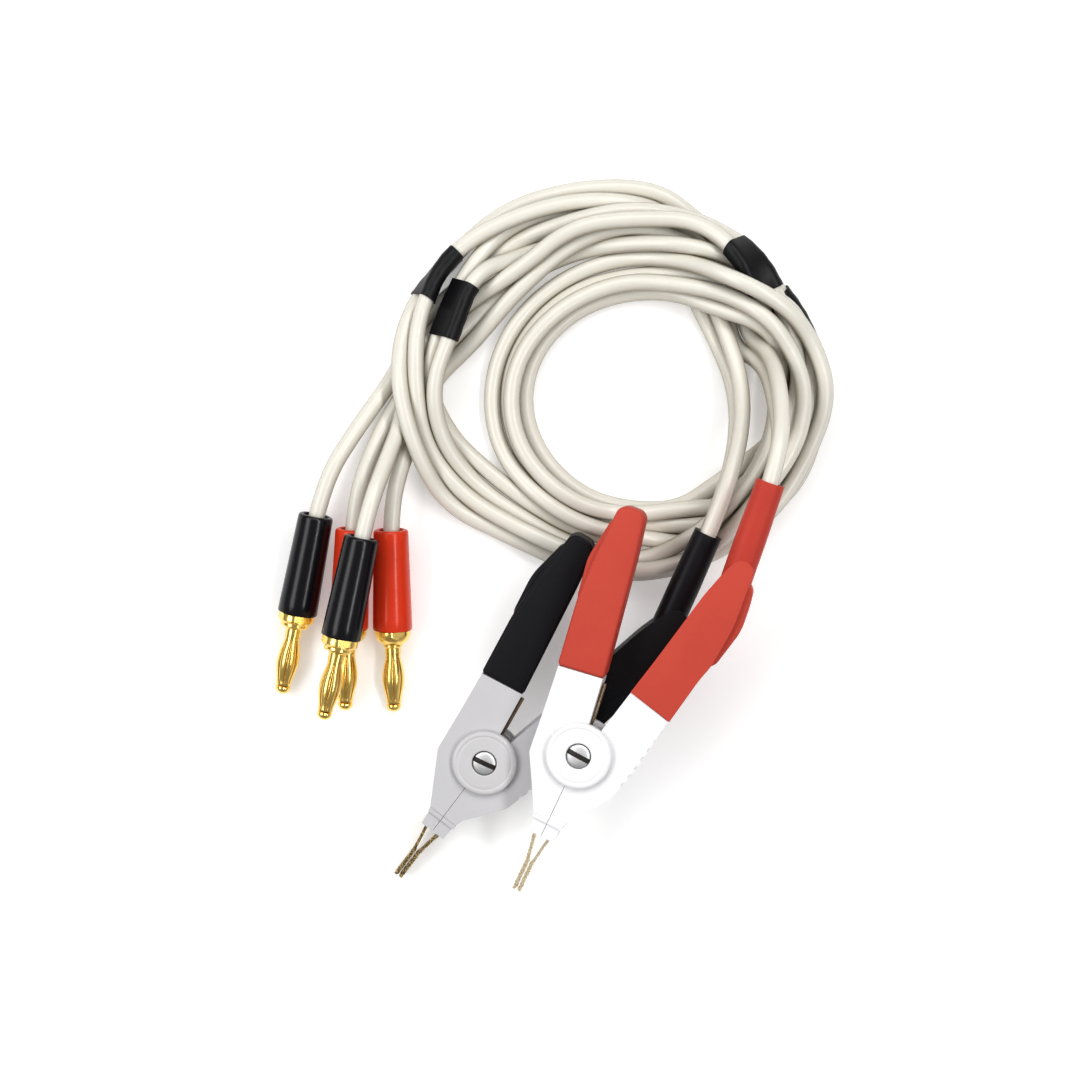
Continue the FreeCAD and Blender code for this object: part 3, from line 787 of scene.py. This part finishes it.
def makeSpring():
    # wound on from the moving half's leg to the fixed half's
    size = springSize
    points = list(size["movingLeg"])
    turns = size["sweep"] / 360
    count = round(turns * 16)
    start = -turns * size["pitch"] / 2
    for i in range(count + 1):
        angle = math.radians(size["firstAngle"] + size["sweep"] * i / count)
        height = start + turns * size["pitch"] * i / count
        points.append((size["radius"] * math.cos(angle), size["radius"] * math.sin(angle), height))
    points += size["fixedLeg"]
    startClean()
    spring = drawBar("spring", points, size["wire"] / 2, 4, 4)
    spring.select_set(True)
    bpy.context.view_layer.objects.active = spring
    bpy.ops.object.convert(target="MESH")
    bpy.ops.object.mode_set(mode="EDIT")
    spring = closeShape()
    smoothPiece(spring, 50.0)
    return spring


gripSize = {
    "half": 4.82, "edge": 0.9, "sideCorner": 1.4, "endCorner": 2.2, "padHalf": 3.2, "padEdge": 1.1,
    "padCorner": 1.6, "tongueHalf": 3.68, "bootGap": 0.05,
}
gripShapes = {
    "moving": {
        "outline": [
            (-13.9, 17.3), (-16.3, 33), (-16.9, 44), (-16.6, 58.4), (-10.2, 59.0), (-7.7, 47.9),
            (-4.2, 28.7), (-2.5, 19.1),
        ],
        "pad": [(-14, 31.5), (-16.6, 33.2), (-18.4, 43.5), (-17.6, 49.5), (-17.0, 54.5), (-14, 55)],
        "tongue": [(-12.72, 16.0), (-15.28, 40), (-15.28, 56.08), (-10.32, 56.08), (-3.6, 16.0)],
    },
    "fixed": {
        "outline": [
            (15.9, 16.7), (18.0, 28.7), (19.2, 33), (20.0, 44), (18.6, 58.6), (14.2, 59.0), (12.4, 54.5),
            (10.5, 47.9), (6.7, 28.7), (4.6, 19.1),
        ],
        "pad": [(16.5, 31.5), (19.8, 32.8), (21.9, 43.0), (21.2, 49.5), (20.2, 54.0), (16.5, 54.5)],
        "tongue": [(5.55, 14.5), (10.92, 40), (12.5, 48.58), (17.66, 48.58), (18.28, 38), (14.66, 14.5)],
    },
}
bootSize = {
    "wide": 7.4, "tall": 9.4, "long": 28.0, "edge": 3.2, "mouth": 0.93, "narrowFrom": 12.0,
    "cuts": (14.0, 18.0, 22.0, 25.5), "start": (16.0, 50.0), "lean": {"red": 6.0, "black": 13.0},
    "hole": 2.1, "apart": 4.16, "seat": 6.0,
}


def bevelUprights(piece, width, segments, wanted):
    # rounds the upright edges whose lower or upper end is wanted
    bpy.context.view_layer.objects.active = piece
    bpy.ops.object.mode_set(mode="EDIT")
    bpy.ops.mesh.select_mode(type="EDGE")
    bpy.ops.mesh.select_all(action="DESELECT")
    mesh = bmesh.from_edit_mesh(piece.data)
    for edge in mesh.edges:
        one, two = (end.co for end in edge.verts)
        edge.select_set(abs(one.z - two.z) > 5 and wanted(one))
    bmesh.update_edit_mesh(piece.data)
    bpy.ops.mesh.bevel(offset=width, segments=segments, affect="EDGES")
    bpy.ops.object.mode_set(mode="OBJECT")


def makeGrip(kind, colour):
    size, shape = gripSize, gripShapes[kind]
    grip = drawBlock(shape["outline"], -size["half"], size["half"])
    bevelUprights(grip, size["endCorner"], 6, lambda end: end.y > 50)
    bevelUprights(grip, size["sideCorner"], 3, lambda end: 25 < end.y < 50)
    bevelAngles(grip, size["edge"], 4, 60)
    pad = drawBlock(shape["pad"], -size["padHalf"], size["padHalf"])
    bevelUprights(pad, size["padCorner"], 4, lambda end: abs(end.x) > 15)
    bevelAngles(pad, size["padEdge"], 4, 60)
    combine(grip, pad, "UNION")
    tongue = drawBlock(shape["tongue"], -size["tongueHalf"], size["tongueHalf"])
    combine(grip, tongue, "DIFFERENCE")
    if kind == "fixed":
        combine(grip, makeBoot(colour, size["bootGap"]), "DIFFERENCE")
    smoothPiece(grip, 32.0)
    return grip


def makeBoot(colour, grow):
    # rounded bar, slightly drawn in at its mouth, in the clip's frame
    size = bootSize
    wide, tall, long = size["wide"] / 2 + grow, size["tall"] / 2 + grow, size["long"]
    boot = drawBlock([(-wide, -tall), (wide, -tall), (wide, tall), (-wide, tall)], -grow, long)
    bevelUprights(boot, size["edge"] + grow, 8, lambda end: True)
    bpy.ops.object.mode_set(mode="EDIT")
    for height in size["cuts"]:
        bpy.ops.mesh.select_all(action="SELECT")
        bpy.ops.mesh.bisect(plane_co=(0, 0, height), plane_no=(0, 0, 1))
    bpy.ops.object.mode_set(mode="OBJECT")
    for vertex in boot.data.vertices:
        past = vertex.co.z - size["narrowFrom"]
        ahead = min(1.0, max(0.0, past / (long - size["narrowFrom"])))
        share = 1 - (1 - size["mouth"]) * ahead * ahead * (3 - 2 * ahead)
        vertex.co.x *= share
        vertex.co.y *= share
    if not grow:
        for side in (-1, 1):
            drillHole(boot, 48, size["hole"], 2 * size["seat"], (0, side * size["apart"] / 2, long))
        bevelAngles(boot, 0.25, 2, 60)
    # the bar was drawn standing: lay it along +Y, lean it and move it to its start
    lean = Matrix.Rotation(math.radians(size["lean"][colour]), 4, "Z")
    lay = Matrix.Rotation(math.radians(-90), 4, "X")
    boot.data.transform(Matrix.Translation((*size["start"], 0)) @ lean @ lay)
    smoothPiece(boot, 40.0)
    return boot


bladeSize = {
    "line": [(1.9, -9.5), (1.9, -21.8), (0.8, -29.0), (0.8, -36.8)], "half": 0.4, "wide": 1.9,
    "teeth": 6, "toothPitch": 1.3, "toothHigh": 0.3, "nicksFrom": -24.0, "nickPitch": 0.9,
    "nickDeep": 0.24,
}


def makeBlade(side):
    # toothed strip: teeth inside over the tip, fine nicks along its outer edge
    size = bladeSize
    half = size["half"]
    root, bendStart, bendEnd, tip = size["line"]
    outer = [(x + half, y) for x, y in (root, bendStart)]
    along = size["nicksFrom"]
    while along > tip[1] + 0.5:
        for step, deep in ((0.0, 0.0), (0.5, size["nickDeep"])):
            y = along - step * size["nickPitch"]
            x = tip[0]
            if y > bendEnd[1]:
                x += (bendStart[0] - x) * (y - bendEnd[1]) / (bendStart[1] - bendEnd[1])
            outer.append((x + half - deep, y))
        along -= size["nickPitch"]
    outer.append((tip[0] + half, tip[1]))
    inner = [(tip[0] - half, tip[1])]
    for i in range(size["teeth"]):
        y = tip[1] + (i + 0.5) * size["toothPitch"]
        inner.append((tip[0] - half - size["toothHigh"], y))
        inner.append((tip[0] - half, y + size["toothPitch"] / 2))
    inner += [(x - half, y) for x, y in (bendStart, root)]
    outline = [(side * x, y) for x, y in outer + inner]
    blade = drawBlock(outline, -size["wide"], size["wide"])
    bevelAngles(blade, 0.05, 1, 25)
    smoothPiece(blade, 30.0)
    return blade


shapedCap = makeCap()
shapedSpring = makeSpring()
turnOver = Matrix.Rotation(math.pi, 4, "Y")
for colour in ("red", "black"):
    place = placeOf(colour)
    steel = finishes[colour + "Steel"]
    for level, flip in (("_upper_cap", Matrix.Identity(4)), ("_lower_cap", turnOver)):
        cap = copyPiece(shapedCap)
        settlePiece(cap, colour + level, place @ flip, finishes[colour + "Cap"], colour + "_cap")
    screw = makeScrew(slotTurns[colour])
    settlePiece(screw, colour + "_pivot_screw", place, steel, "steel")
    spring = settlePiece(
        copyPiece(shapedSpring), colour + "_torsion_spring", place, finishes[colour + "Spring"],
        "spring_steel", name=colour + "Spring", rides=False,
    )
    colour + "_moving_jaw"
    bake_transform(spring)
    for kind, side in (("_fixed", 1), ("_moving", -1)):
        grip = makeGrip(kind[1:], colour)
        settlePiece(grip, colour + kind + "_grip", place, finishes[colour + "Grip"], colour + "_pvc")
        blade = makeBlade(side)
        settlePiece(blade, colour + kind + "_contact", place, finishes[colour + "Blade"], "gold")
        giveFinish(nodes[colour + kind + "_half"], finishes[colour + "Body"])
        giveFinish(nodes[colour + kind + "_inner_wire"], finishes[colour + "Core"])
    boot = makeBoot(colour, 0)
    settlePiece(boot, colour + "_cable_boot", place, finishes[colour + "Boot"], colour + "_boot")
    giveFinish(nodes[colour + "_pivot_nut"], steel)
bpy.data.objects.remove(shapedCap)
bpy.data.objects.remove(shapedSpring)
print("clips ready")


# leads: each one wound twice round, from its boot to its plug

coil = {
    "bigCentre": (6.3, 73.0), "bigHalf": (53.4, 48.8),
    "smallCentre": (17.7, 69.9), "smallHalf": (41.6, 36.4),
    "step": 20, "cordWide": 4.1,
}
# how the leads settle, round by round; sizes in millimetres, spans in steps along a lead
settling = {
    "rounds": 240, "dropping": 0.7, "perSpan": 6, "wide": 4.12, "nearby": 2.5, "searchEvery": 12,
    "ownSkip": 30, "weight": 0.1, "sideways": 0.5, "hold": 0.08, "straighten": 0.05, "sleevePull": 0.4,
    "sleeveHalf": 4, "gain": 2.0, "heldAtPlug": 4, "freeAtBoot": 4,
}

# share of the small oval, by degrees round the coil
smallShare = [
    (0, 0), (290, 0), (330, 0.45), (365, 0.8), (400, 1), (665, 1), (700, 0.5), (722, 0), (900, 0),
]

# how far the ovals are pressed in, by degrees round the coil
dents = [
    (0, 0), (190, 0), (210, 1.6), (235, 4.8), (252, 3.8), (270, 0.8), (285, 0), (722, 0), (735, 2.6),
    (748, 4.6), (762, 4.0), (778, 2.0), (795, 0), (900, 0),
]

# fromBoot and toPlug hold points; a lane station is degrees round the coil, distance in, height
leads = {
    "redOuterLead": {
        "fromBoot": [
            (41.21, 42.79, 32.9), (45.75, 55.97, 34.2), (46.9, 69.4, 23.4), (45.6, 80.4, 11.8),
            (43.8, 88.4, 6.2), (40.6, 98.0, 3.4), (35.6, 106.6, 2.1), (27.2, 114.4, 2.1),
        ],
        "lanes": [
            (78, 2.0, 2.1), (103, 1.0, 2.1), (130, 1.6, 2.1), (147, 2.4, 6.2), (165, 2.4, 6.6),
            (185, 2.4, 10.3), (205, 2.2, 6.0), (228, 2.0, 2.1), (270, 1.9, 2.1), (300, 2.2, 2.1),
            (330, 2.3, 9.0), (360, 2.2, 9.1), (385, 2.0, 10.3), (430, 1.5, 10.3), (450, 1.3, 6.3),
            (480, 1.8, 2.1), (540, 2.05, 2.1), (600, 1.6, 2.1), (630, 2.2, 6.2), (665, 1.6, 2.1),
            (700, 2.0, 2.1), (720, 2.05, 2.1), (742, 2.1, 2.1), (759, 4.5, 2.1), (780, 8.2, 6.2),
            (792, 10.0, 6.2), (800, 12.0, 5.6), (823, 13.4, 2.1),
        ],
        "toPlug": [
            (-18.5, 100.9, 5.0), (-31.9, 88.2, 2.1), (-40.0, 79.0, 2.1), (-46.0, 70.4, 2.2),
            (-52.1, 58.5, 4.9), (-56.63, 44.8, 9.68), (-57.41, 30.97, 7.61),
        ],
    },
    "redInnerLead": {
        "fromBoot": [
            (41.79, 43.0, 28.78), (46.32, 56.18, 30.08), (46.3, 67.6, 17.4), (44.5, 78.6, 7.2),
            (41.4, 87.4, 2.2), (36.8, 97.2, 2.1), (31.0, 104.8, 2.1), (24.2, 110.8, 2.1),
        ],
        "lanes": [
            (78, 4.2, 5.6), (103, 4.0, 5.8), (130, 4.6, 5.8), (147, 4.5, 9.8), (165, 4.3, 9.8),
            (185, 4.6, 13.6), (205, 4.6, 9.5), (228, 5.2, 5.8), (270, 5.6, 5.8), (300, 6.3, 2.1),
            (330, 6.4, 9.0), (360, 6.3, 9.1), (385, 6.5, 10.3), (430, 6.3, 10.3), (450, 6.2, 8.0),
            (480, 6.0, 8.0), (540, 5.6, 8.6), (600, 5.0, 8.0), (630, 6.4, 6.2), (665, 5.7, 2.1),
            (700, 6.1, 2.1), (720, 6.15, 2.1), (742, 4.3, 6.0), (759, 8.4, 2.1), (780, 8.2, 2.1),
            (792, 8.1, 5.6), (800, 8.1, 5.6), (823, 11.6, 5.6),
        ],
        "toPlug": [
            (-18.5, 97.6, 2.1), (-29.6, 86.0, 2.1), (-37.9, 75.5, 2.1), (-41.4, 63.2, 2.6),
            (-45.3, 53.7, 6.2), (-47.7, 42.08, 9.31), (-47.62, 30.7, 7.61),
        ],
    },
    "blackOuterLead": {
        "fromBoot": [
            (27.19, 30.9, 18.74), (32.81, 43.59, 20.52), (38.3, 60.6, 14.5), (38.7, 74.0, 9.2),
            (36.8, 86.4, 6.5), (33.6, 96.2, 4.3), (28.9, 103.4, 2.1), (21.5, 109.6, 2.1),
        ],
        "lanes": [
            (78, 6.1, 2.1), (103, 5.1, 2.1), (130, 7.4, 5.0), (155, 8.4, 6.2), (185, 6.2, 10.3),
            (205, 9.2, 5.0), (228, 12.2, 2.1), (250, 11.0, 2.1), (270, 10.2, 2.1), (300, 10.3, 2.1),
            (330, 6.6, 5.6), (360, 4.1, 5.6), (385, 4.2, 6.2), (430, 4.0, 6.2), (450, 3.8, 3.2),
            (480, 4.4, 4.0), (540, 5.2, 4.6), (600, 4.6, 4.6), (630, 4.2, 2.1), (665, 4.6, 6.2),
            (700, 6.8, 5.6), (720, 7.6, 5.6), (740, 7.0, 5.6), (759, 4.2, 6.2), (780, 3.0, 6.2),
            (792, 3.4, 9.1), (800, 5.6, 9.1), (823, 7.4, 5.6),
        ],
        "toPlug": [
            (-19.0, 109.6, 2.1), (-36.5, 92.8, 2.1), (-41.6, 85.4, 2.1), (-46.1, 77.2, 2.4),
            (-55.7, 63.5, 5.4), (-64.43, 48.95, 9.83), (-67.46, 34.43, 7.61),
        ],
    },
    "blackInnerLead": {
        "fromBoot": [
            (27.51, 31.33, 14.61), (33.14, 44.03, 16.39), (37.7, 60.2, 9.2), (37.5, 73.2, 4.0),
            (34.3, 85.2, 2.3), (30.2, 94.7, 2.3), (25.4, 100.8, 2.1), (18.6, 105.8, 2.1),
        ],
        "lanes": [
            (78, 10.2, 2.1), (103, 9.2, 2.1), (130, 9.8, 5.6), (155, 10.4, 9.8), (185, 8.5, 13.6),
            (205, 7.9, 7.0), (228, 7.2, 2.1), (250, 6.6, 2.1), (270, 6.2, 2.1), (300, 8.0, 5.6),
            (330, 9.4, 5.6), (360, 10.3, 9.1), (385, 10.2, 10.3), (430, 9.8, 10.3), (450, 9.5, 6.2),
            (480, 9.0, 2.1), (540, 8.45, 2.1), (600, 7.8, 2.1), (630, 7.8, 2.1), (665, 7.8, 6.2),
            (700, 9.4, 2.1), (720, 10.0, 2.1), (740, 9.6, 5.6), (759, 6.6, 9.6), (780, 6.0, 8.4),
            (792, 6.4, 9.6), (800, 8.6, 9.6), (823, 9.4, 8.0),
        ],
        "toPlug": [
            (-18.5, 105.4, 3.0), (-34.6, 90.6, 2.1), (-41.4, 79.5, 6.2), (-45.1, 64.5, 6.0),
            (-48.4, 54.7, 11.5), (-52.55, 42.53, 17.89), (-55.55, 28.91, 16.67),
        ],
    },
}

# shrink sleeves over pairs of leads: middle in plan, and where on the coil
shrinkSize = {
    "long": 14.5, "wall": 0.45, "rings": 15, "around": 40, "waist": 0.35, "clearance": 0.06,
    "flare": 0.08, "ripple": 0.05, "lowest": 0.03,
}
redPair = ("redOuterLead", "redInnerLead")
blackPair = ("blackOuterLead", "blackInnerLead")
shrinks = {
    "shrink_left_outer": {"centre": (-35.7, 100.3), "degrees": 148, "pair": redPair},
    "shrink_left_inner": {"centre": (-32.4, 90.8), "degrees": 150, "pair": blackPair},
    "shrink_right_upper": {"centre": (42.5, 102.6), "degrees": 762, "pair": blackPair},
    "shrink_right_lower": {"centre": (53.2, 90.6), "degrees": 742, "pair": redPair},
}


def between(stations, angle, column):
    for low, high in zip(stations, stations[1:]):
        if angle <= high[0]:
            share = (angle - low[0]) / (high[0] - low[0])
            share = share * share * (3 - 2 * share)
            return low[column] + (high[column] - low[column]) * share
    return stations[-1][column]


def coilPoint(lanes, angle):
    share = between(smallShare, angle, 1)
    turn = math.radians(angle)
    # a control point stands out from the line, because the curve passes inside it
    inward = between(lanes, angle, 1) + between(dents, angle, 1)
    out = 1 / (1 - (1 - math.cos(math.radians(coil["step"]))) / 4)
    sizes = [big + (small - big) * share for big, small in zip(coil["bigHalf"], coil["smallHalf"])]
    centre = [big + (small - big) * share for big, small in zip(coil["bigCentre"], coil["smallCentre"])]
    x = centre[0] + (sizes[0] - inward) * out * math.cos(turn)
    y = centre[1] + (sizes[1] - inward) * out * math.sin(turn)
    return (x, y, between(lanes, angle, 2))


def ringCount(facts):
    return round((facts["lanes"][-1][0] - facts["lanes"][0][0]) / coil["step"])


def controlAt(name, degrees):
    # number of the control point at a turn of the coil, counted along a lead
    facts = leads[name]
    first, last = facts["lanes"][0][0], facts["lanes"][-1][0]
    return len(facts["fromBoot"]) + (degrees - first) / (last - first) * ringCount(facts)


def leadPoints(facts):
    first, last = facts["lanes"][0][0], facts["lanes"][-1][0]
    count = ringCount(facts)
    ring = [coilPoint(facts["lanes"], first + (last - first) * i / count) for i in range(count + 1)]
    return facts["fromBoot"] + ring + facts["toPlug"]


def curveShares(count, perSpan):
    # how much of each control point there is at places along the curve
    spans = count - 2
    places = [span + step / perSpan for span in range(spans) for step in range(perSpan)]
    places.append(spans - 1e-9)
    knots = [0, 0, 0] + list(range(1, spans)) + [spans] * 3
    shares = np.zeros((len(places), count))
    for row, at in enumerate(places):
        level = [1.0 if knots[i] <= at < knots[i + 1] else 0.0 for i in range(count + 2)]
        for power in (1, 2):
            above = [0.0] * (count + 2 - power)
            for i in range(count + 2 - power):
                rise = knots[i + power] - knots[i]
                fall = knots[i + power + 1] - knots[i + 1]
                above[i] = (at - knots[i]) / rise * level[i] if rise else 0.0
                if fall:
                    above[i] += (knots[i + power + 1] - at) / fall * level[i + 1]
            level = above
        shares[row] = level
    return shares


def layDown(routes):
    # the leads drop onto the table and each other, and are pushed apart where they would overlap
    names = list(routes)
    points = [np.array(routes[name], float) for name in names]
    first = [place.copy() for place in points]
    wide, rounds, perSpan = settling["wide"], settling["rounds"], settling["perSpan"]
    shares = [curveShares(len(place), perSpan) for place in points]
    owner = np.concatenate([np.full(len(share), i) for i, share in enumerate(shares)])
    order = np.concatenate([np.arange(len(share)) for share in shares])
    weights = [share.sum(0)[:, None] for share in shares]
    loose = []
    for name, place in zip(names, points):
        free = np.ones((len(place), 1))
        free[:len(leads[name]["fromBoot"]) - settling["freeAtBoot"]] = 0
        free[len(place) - settling["heldAtPlug"]:] = 0
        loose.append(free)
    # the shrink sleeves hold their two leads together and make them thicker there
    swell = np.zeros(len(owner))
    held = np.full(len(owner), -1)
    ends = np.cumsum([0] + [len(share) for share in shares])
    grips = []
    for number, facts in enumerate(shrinks.values()):
        windows = []
        for lead in facts["pair"]:
            low = ends[names.index(lead)]
            middle = low + round((controlAt(lead, facts["degrees"]) - 0.5) * perSpan)
            half = settling["sleeveHalf"]
            windows.append(np.arange(middle - half, middle + half + 1))
            swell[windows[-1]] = shrinkSize["wall"]
            held[windows[-1]] = number
        grips.append(windows)
    for turn in range(rounds):
        line = np.concatenate([share @ place for share, place in zip(shares, points)])
        if turn % settling["searchEvery"] == 0:
            apart = np.sqrt(((line[:, None, :] - line[None, :, :]) ** 2).sum(2))
            distant = abs(order[:, None] - order[None, :]) > settling["ownSkip"]
            other = (owner[:, None] != owner[None, :]) | distant
            one, two = np.nonzero((apart < wide + settling["nearby"]) & other)
        gap = line[one] - line[two]
        far = np.sqrt((gap**2).sum(1))
        mates = (held[one] == held[two]) & (held[one] >= 0)
        room = wide + np.where(mates, 0, swell[one] + swell[two])
        touch = far < room
        hit, gap, far, room = one[touch], gap[touch], far[touch], room[touch]
        over = (room - far)[:, None] * gap / np.maximum(far, 1e-6)[:, None]
        push = np.zeros_like(line)
        hits = np.zeros(len(line))
        np.add.at(push, hit, over * 0.5)
        np.add.at(hits, hit, 1)
        push /= np.maximum(hits, 1)[:, None] ** 0.5
        push[:, :2] *= settling["sideways"]
        for windowA, windowB in grips:
            across = line[windowB][None, :, :] - line[windowA][:, None, :]
            nearest = np.sqrt((across**2).sum(2)).argmin(1)
            pull = across[np.arange(len(windowA)), nearest]
            size = np.sqrt((pull**2).sum(1))
            loosened = np.maximum(size - wide, 0) / np.maximum(size, 1e-6)
            pull *= loosened[:, None] * settling["sleevePull"]
            np.add.at(push, windowA, pull)
            np.add.at(push, windowB[nearest], -pull)
        dropping = turn <= rounds * settling["dropping"]
        if dropping:
            push[:, 2] -= settling["weight"]
        push[:, 2] += np.maximum(wide / 2 + swell - (line[:, 2] + push[:, 2]), 0)
        start = 0
        for i, (share, place) in enumerate(zip(shares, points)):
            part = push[start:start + len(share)]
            start += len(share)
            move = (share.T @ part) / weights[i] * settling["gain"]
            if dropping:
                move[:, :2] += (first[i][:, :2] - place[:, :2]) * settling["hold"]
                bend = np.zeros_like(place)
                bend[1:-1] = (place[:-2] + place[2:]) / 2 - place[1:-1]
                move[:, 2] += bend[:, 2] * settling["straighten"]
            points[i] = place + move * loose[i]
    return dict(zip(names, points))


def layLead(name, points):
    scaled = [tuple(value * mm for value in place) for place in points]
    lead = drawBar(name, scaled, coil["cordWide"] / 2 * mm, 10, 8)
    giveFinish(lead, finishes["leadJacket"])
    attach(lead, "lead_set")
    return lead


def centreLine(lead):
    bare = lead.copy()
    bare.data = lead.data.copy()
    bare.data.bevel_depth = 0
    line = bpy.data.meshes.new_from_object(bare)
    points = np.array([vertex.co for vertex in line.vertices], float) / mm
    bpy.data.objects.remove(bare)
    return points


routes = {name: leadPoints(facts) for name, facts in leads.items()}
laidRoutes = layDown(routes)
laidLeads = {}
centreLines = {}
for name, points in laidRoutes.items():
    laidLeads[name] = layLead(name, points)
    centreLines[name] = centreLine(laidLeads[name])
    steps = np.diff(centreLines[name], axis=0)
    print(name, "is", round(float(np.sqrt((steps**2).sum(1)).sum()), 1), "mm long")


# shrink sleeves over pairs of leads


def nearPoint(name, degrees, centre):
    # place on a lead's line near a given turn and nearest to a centre in plan
    line = centreLines[name]
    perSpan = (len(line) - 1) / (len(laidRoutes[name]) - 2)
    middle = (controlAt(name, degrees) - 0.5) * perSpan
    low, high = int(middle - 1.6 * perSpan), int(middle + 1.6 * perSpan)
    away = np.hypot(line[low:high, 0] - centre[0], line[low:high, 1] - centre[1])
    return low + int(away.argmin())


def spotAt(distance, way, line):
    return Vector([np.interp(distance, way, line[:, k]) for k in range(3)])


def makeShrink(name, facts):
    size = shrinkSize
    lineA, lineB = (centreLines[lead] for lead in facts["pair"])
    atA = nearPoint(facts["pair"][0], facts["degrees"], facts["centre"])
    stretchA = lineA[atA - 12:atA + 13]
    way = np.concatenate([[0], np.cumsum(np.sqrt((np.diff(stretchA, axis=0) ** 2).sum(1)))])
    way -= way[12]
    atB = nearPoint(facts["pair"][1], facts["degrees"], lineA[atA])
    stretchB = lineB[atB - 20:atB + 21]
    radius = coil["cordWide"] / 2 + size["wall"]
    outer, inner = [], []
    around = size["around"]
    for i in range(size["rings"]):
        share = i / (size["rings"] - 1)
        along = (share - 0.5) * size["long"]
        spotA, ahead, behind = (spotAt(along + step, way, stretchA) for step in (0, 1, -1))
        forward = (ahead - behind).normalized()
        # where the second lead crosses this section
        sides = (stretchB - np.array(spotA)) @ np.array(forward)
        order = sides if sides[-1] > sides[0] else sides[::-1]
        ordered = stretchB if sides[-1] > sides[0] else stretchB[::-1]
        spotB = spotAt(0, order, ordered)
        across = spotB - spotA
        across -= forward * across.dot(forward)
        apart = across.length
        across.normalize()
        up = forward.cross(across)
        flare = size["flare"] * (abs(share - 0.5) * 2) ** 8 + size["ripple"] * math.sin(share * 23 + atA)
        for rings, grow in ((outer, 0.0), (inner, -size["wall"] + size["clearance"])):
            ring = []
            for k in range(around):
                angle = 2 * math.pi * (k + 0.5) / around
                reach = math.cos(angle)
                ease = (1 + math.tanh(4.5 * reach)) / 2
                swell = radius + grow + flare - size["waist"] * (1 - reach**2) ** 6
                aside = across * (apart * ease + swell * reach)
                ring.append(spotA + aside + up * (swell * math.sin(angle)))
            rings.append(ring)
    loops = outer + inner[::-1]
    corners = [tuple(place) for ring in loops for place in ring]
    faces = []
    for i in range(len(loops)):
        after = (i + 1) % len(loops)
        for k in range(around):
            beside = (k + 1) % around
            here, there = i * around, after * around
            faces.append((here + k, here + beside, there + beside, there + k))
    mesh = bpy.data.meshes.new(name)
    mesh.from_pydata(corners, [], faces)
    sleeve = bpy.data.objects.new(name + "Sleeve", mesh)
    bpy.context.scene.collection.objects.link(sleeve)
    startClean()
    sleeve.select_set(True)
    bpy.context.view_layer.objects.active = sleeve
    bpy.ops.object.mode_set(mode="EDIT")
    bpy.ops.mesh.select_all(action="SELECT")
    bpy.ops.mesh.normals_make_consistent(inside=False)
    bpy.ops.object.mode_set(mode="OBJECT")
    bevelAngles(sleeve, 0.12, 2, 50)
    smoothPiece(sleeve, 45.0)
    for vertex in sleeve.data.vertices:
        vertex.co.z = max(vertex.co.z, size["lowest"])
    shownName = camelName(name) + "Sleeve"
    return settlePiece(sleeve, name, Matrix.Identity(4), finishes["shrink"], "shrink", name=shownName)


shrinkPieces = {name: makeShrink(name, facts) for name, facts in shrinks.items()}
print("shrink sleeves ready")


# what each lead is, and what it carries

leadFacts = {
    "redOuterLead": {
        "plug": "red_left", "exit": (43.154, 48.438, 33.453), "long": 0.776,
        "nodes": ["red_upper_clip_lead", "red_left_plug_lead", "lead_coil"],
        "sleeve": "shrink_left_outer",
    },
    "redInnerLead": {
        "plug": "red_right", "exit": (43.731, 48.646, 29.339), "long": 0.710,
        "nodes": ["red_lower_clip_lead", "red_right_plug_lead"], "sleeve": "shrink_right_lower",
    },
    "blackOuterLead": {
        "plug": "black_left", "exit": (29.596, 36.337, 19.500), "long": 0.717,
        "nodes": ["black_upper_clip_lead", "black_left_plug_lead"], "sleeve": "shrink_left_inner",
    },
    "blackInnerLead": {
        "plug": "black_right", "exit": (29.923, 36.771, 15.375), "long": 0.674,
        "nodes": ["black_lower_clip_lead", "black_right_plug_lead"], "sleeve": "shrink_right_upper",
    },
}
for name, facts in leadFacts.items():
    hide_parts(*facts["nodes"])
    carried = plugPieces[facts["plug"]] + [shrinkPieces[facts["sleeve"]]]
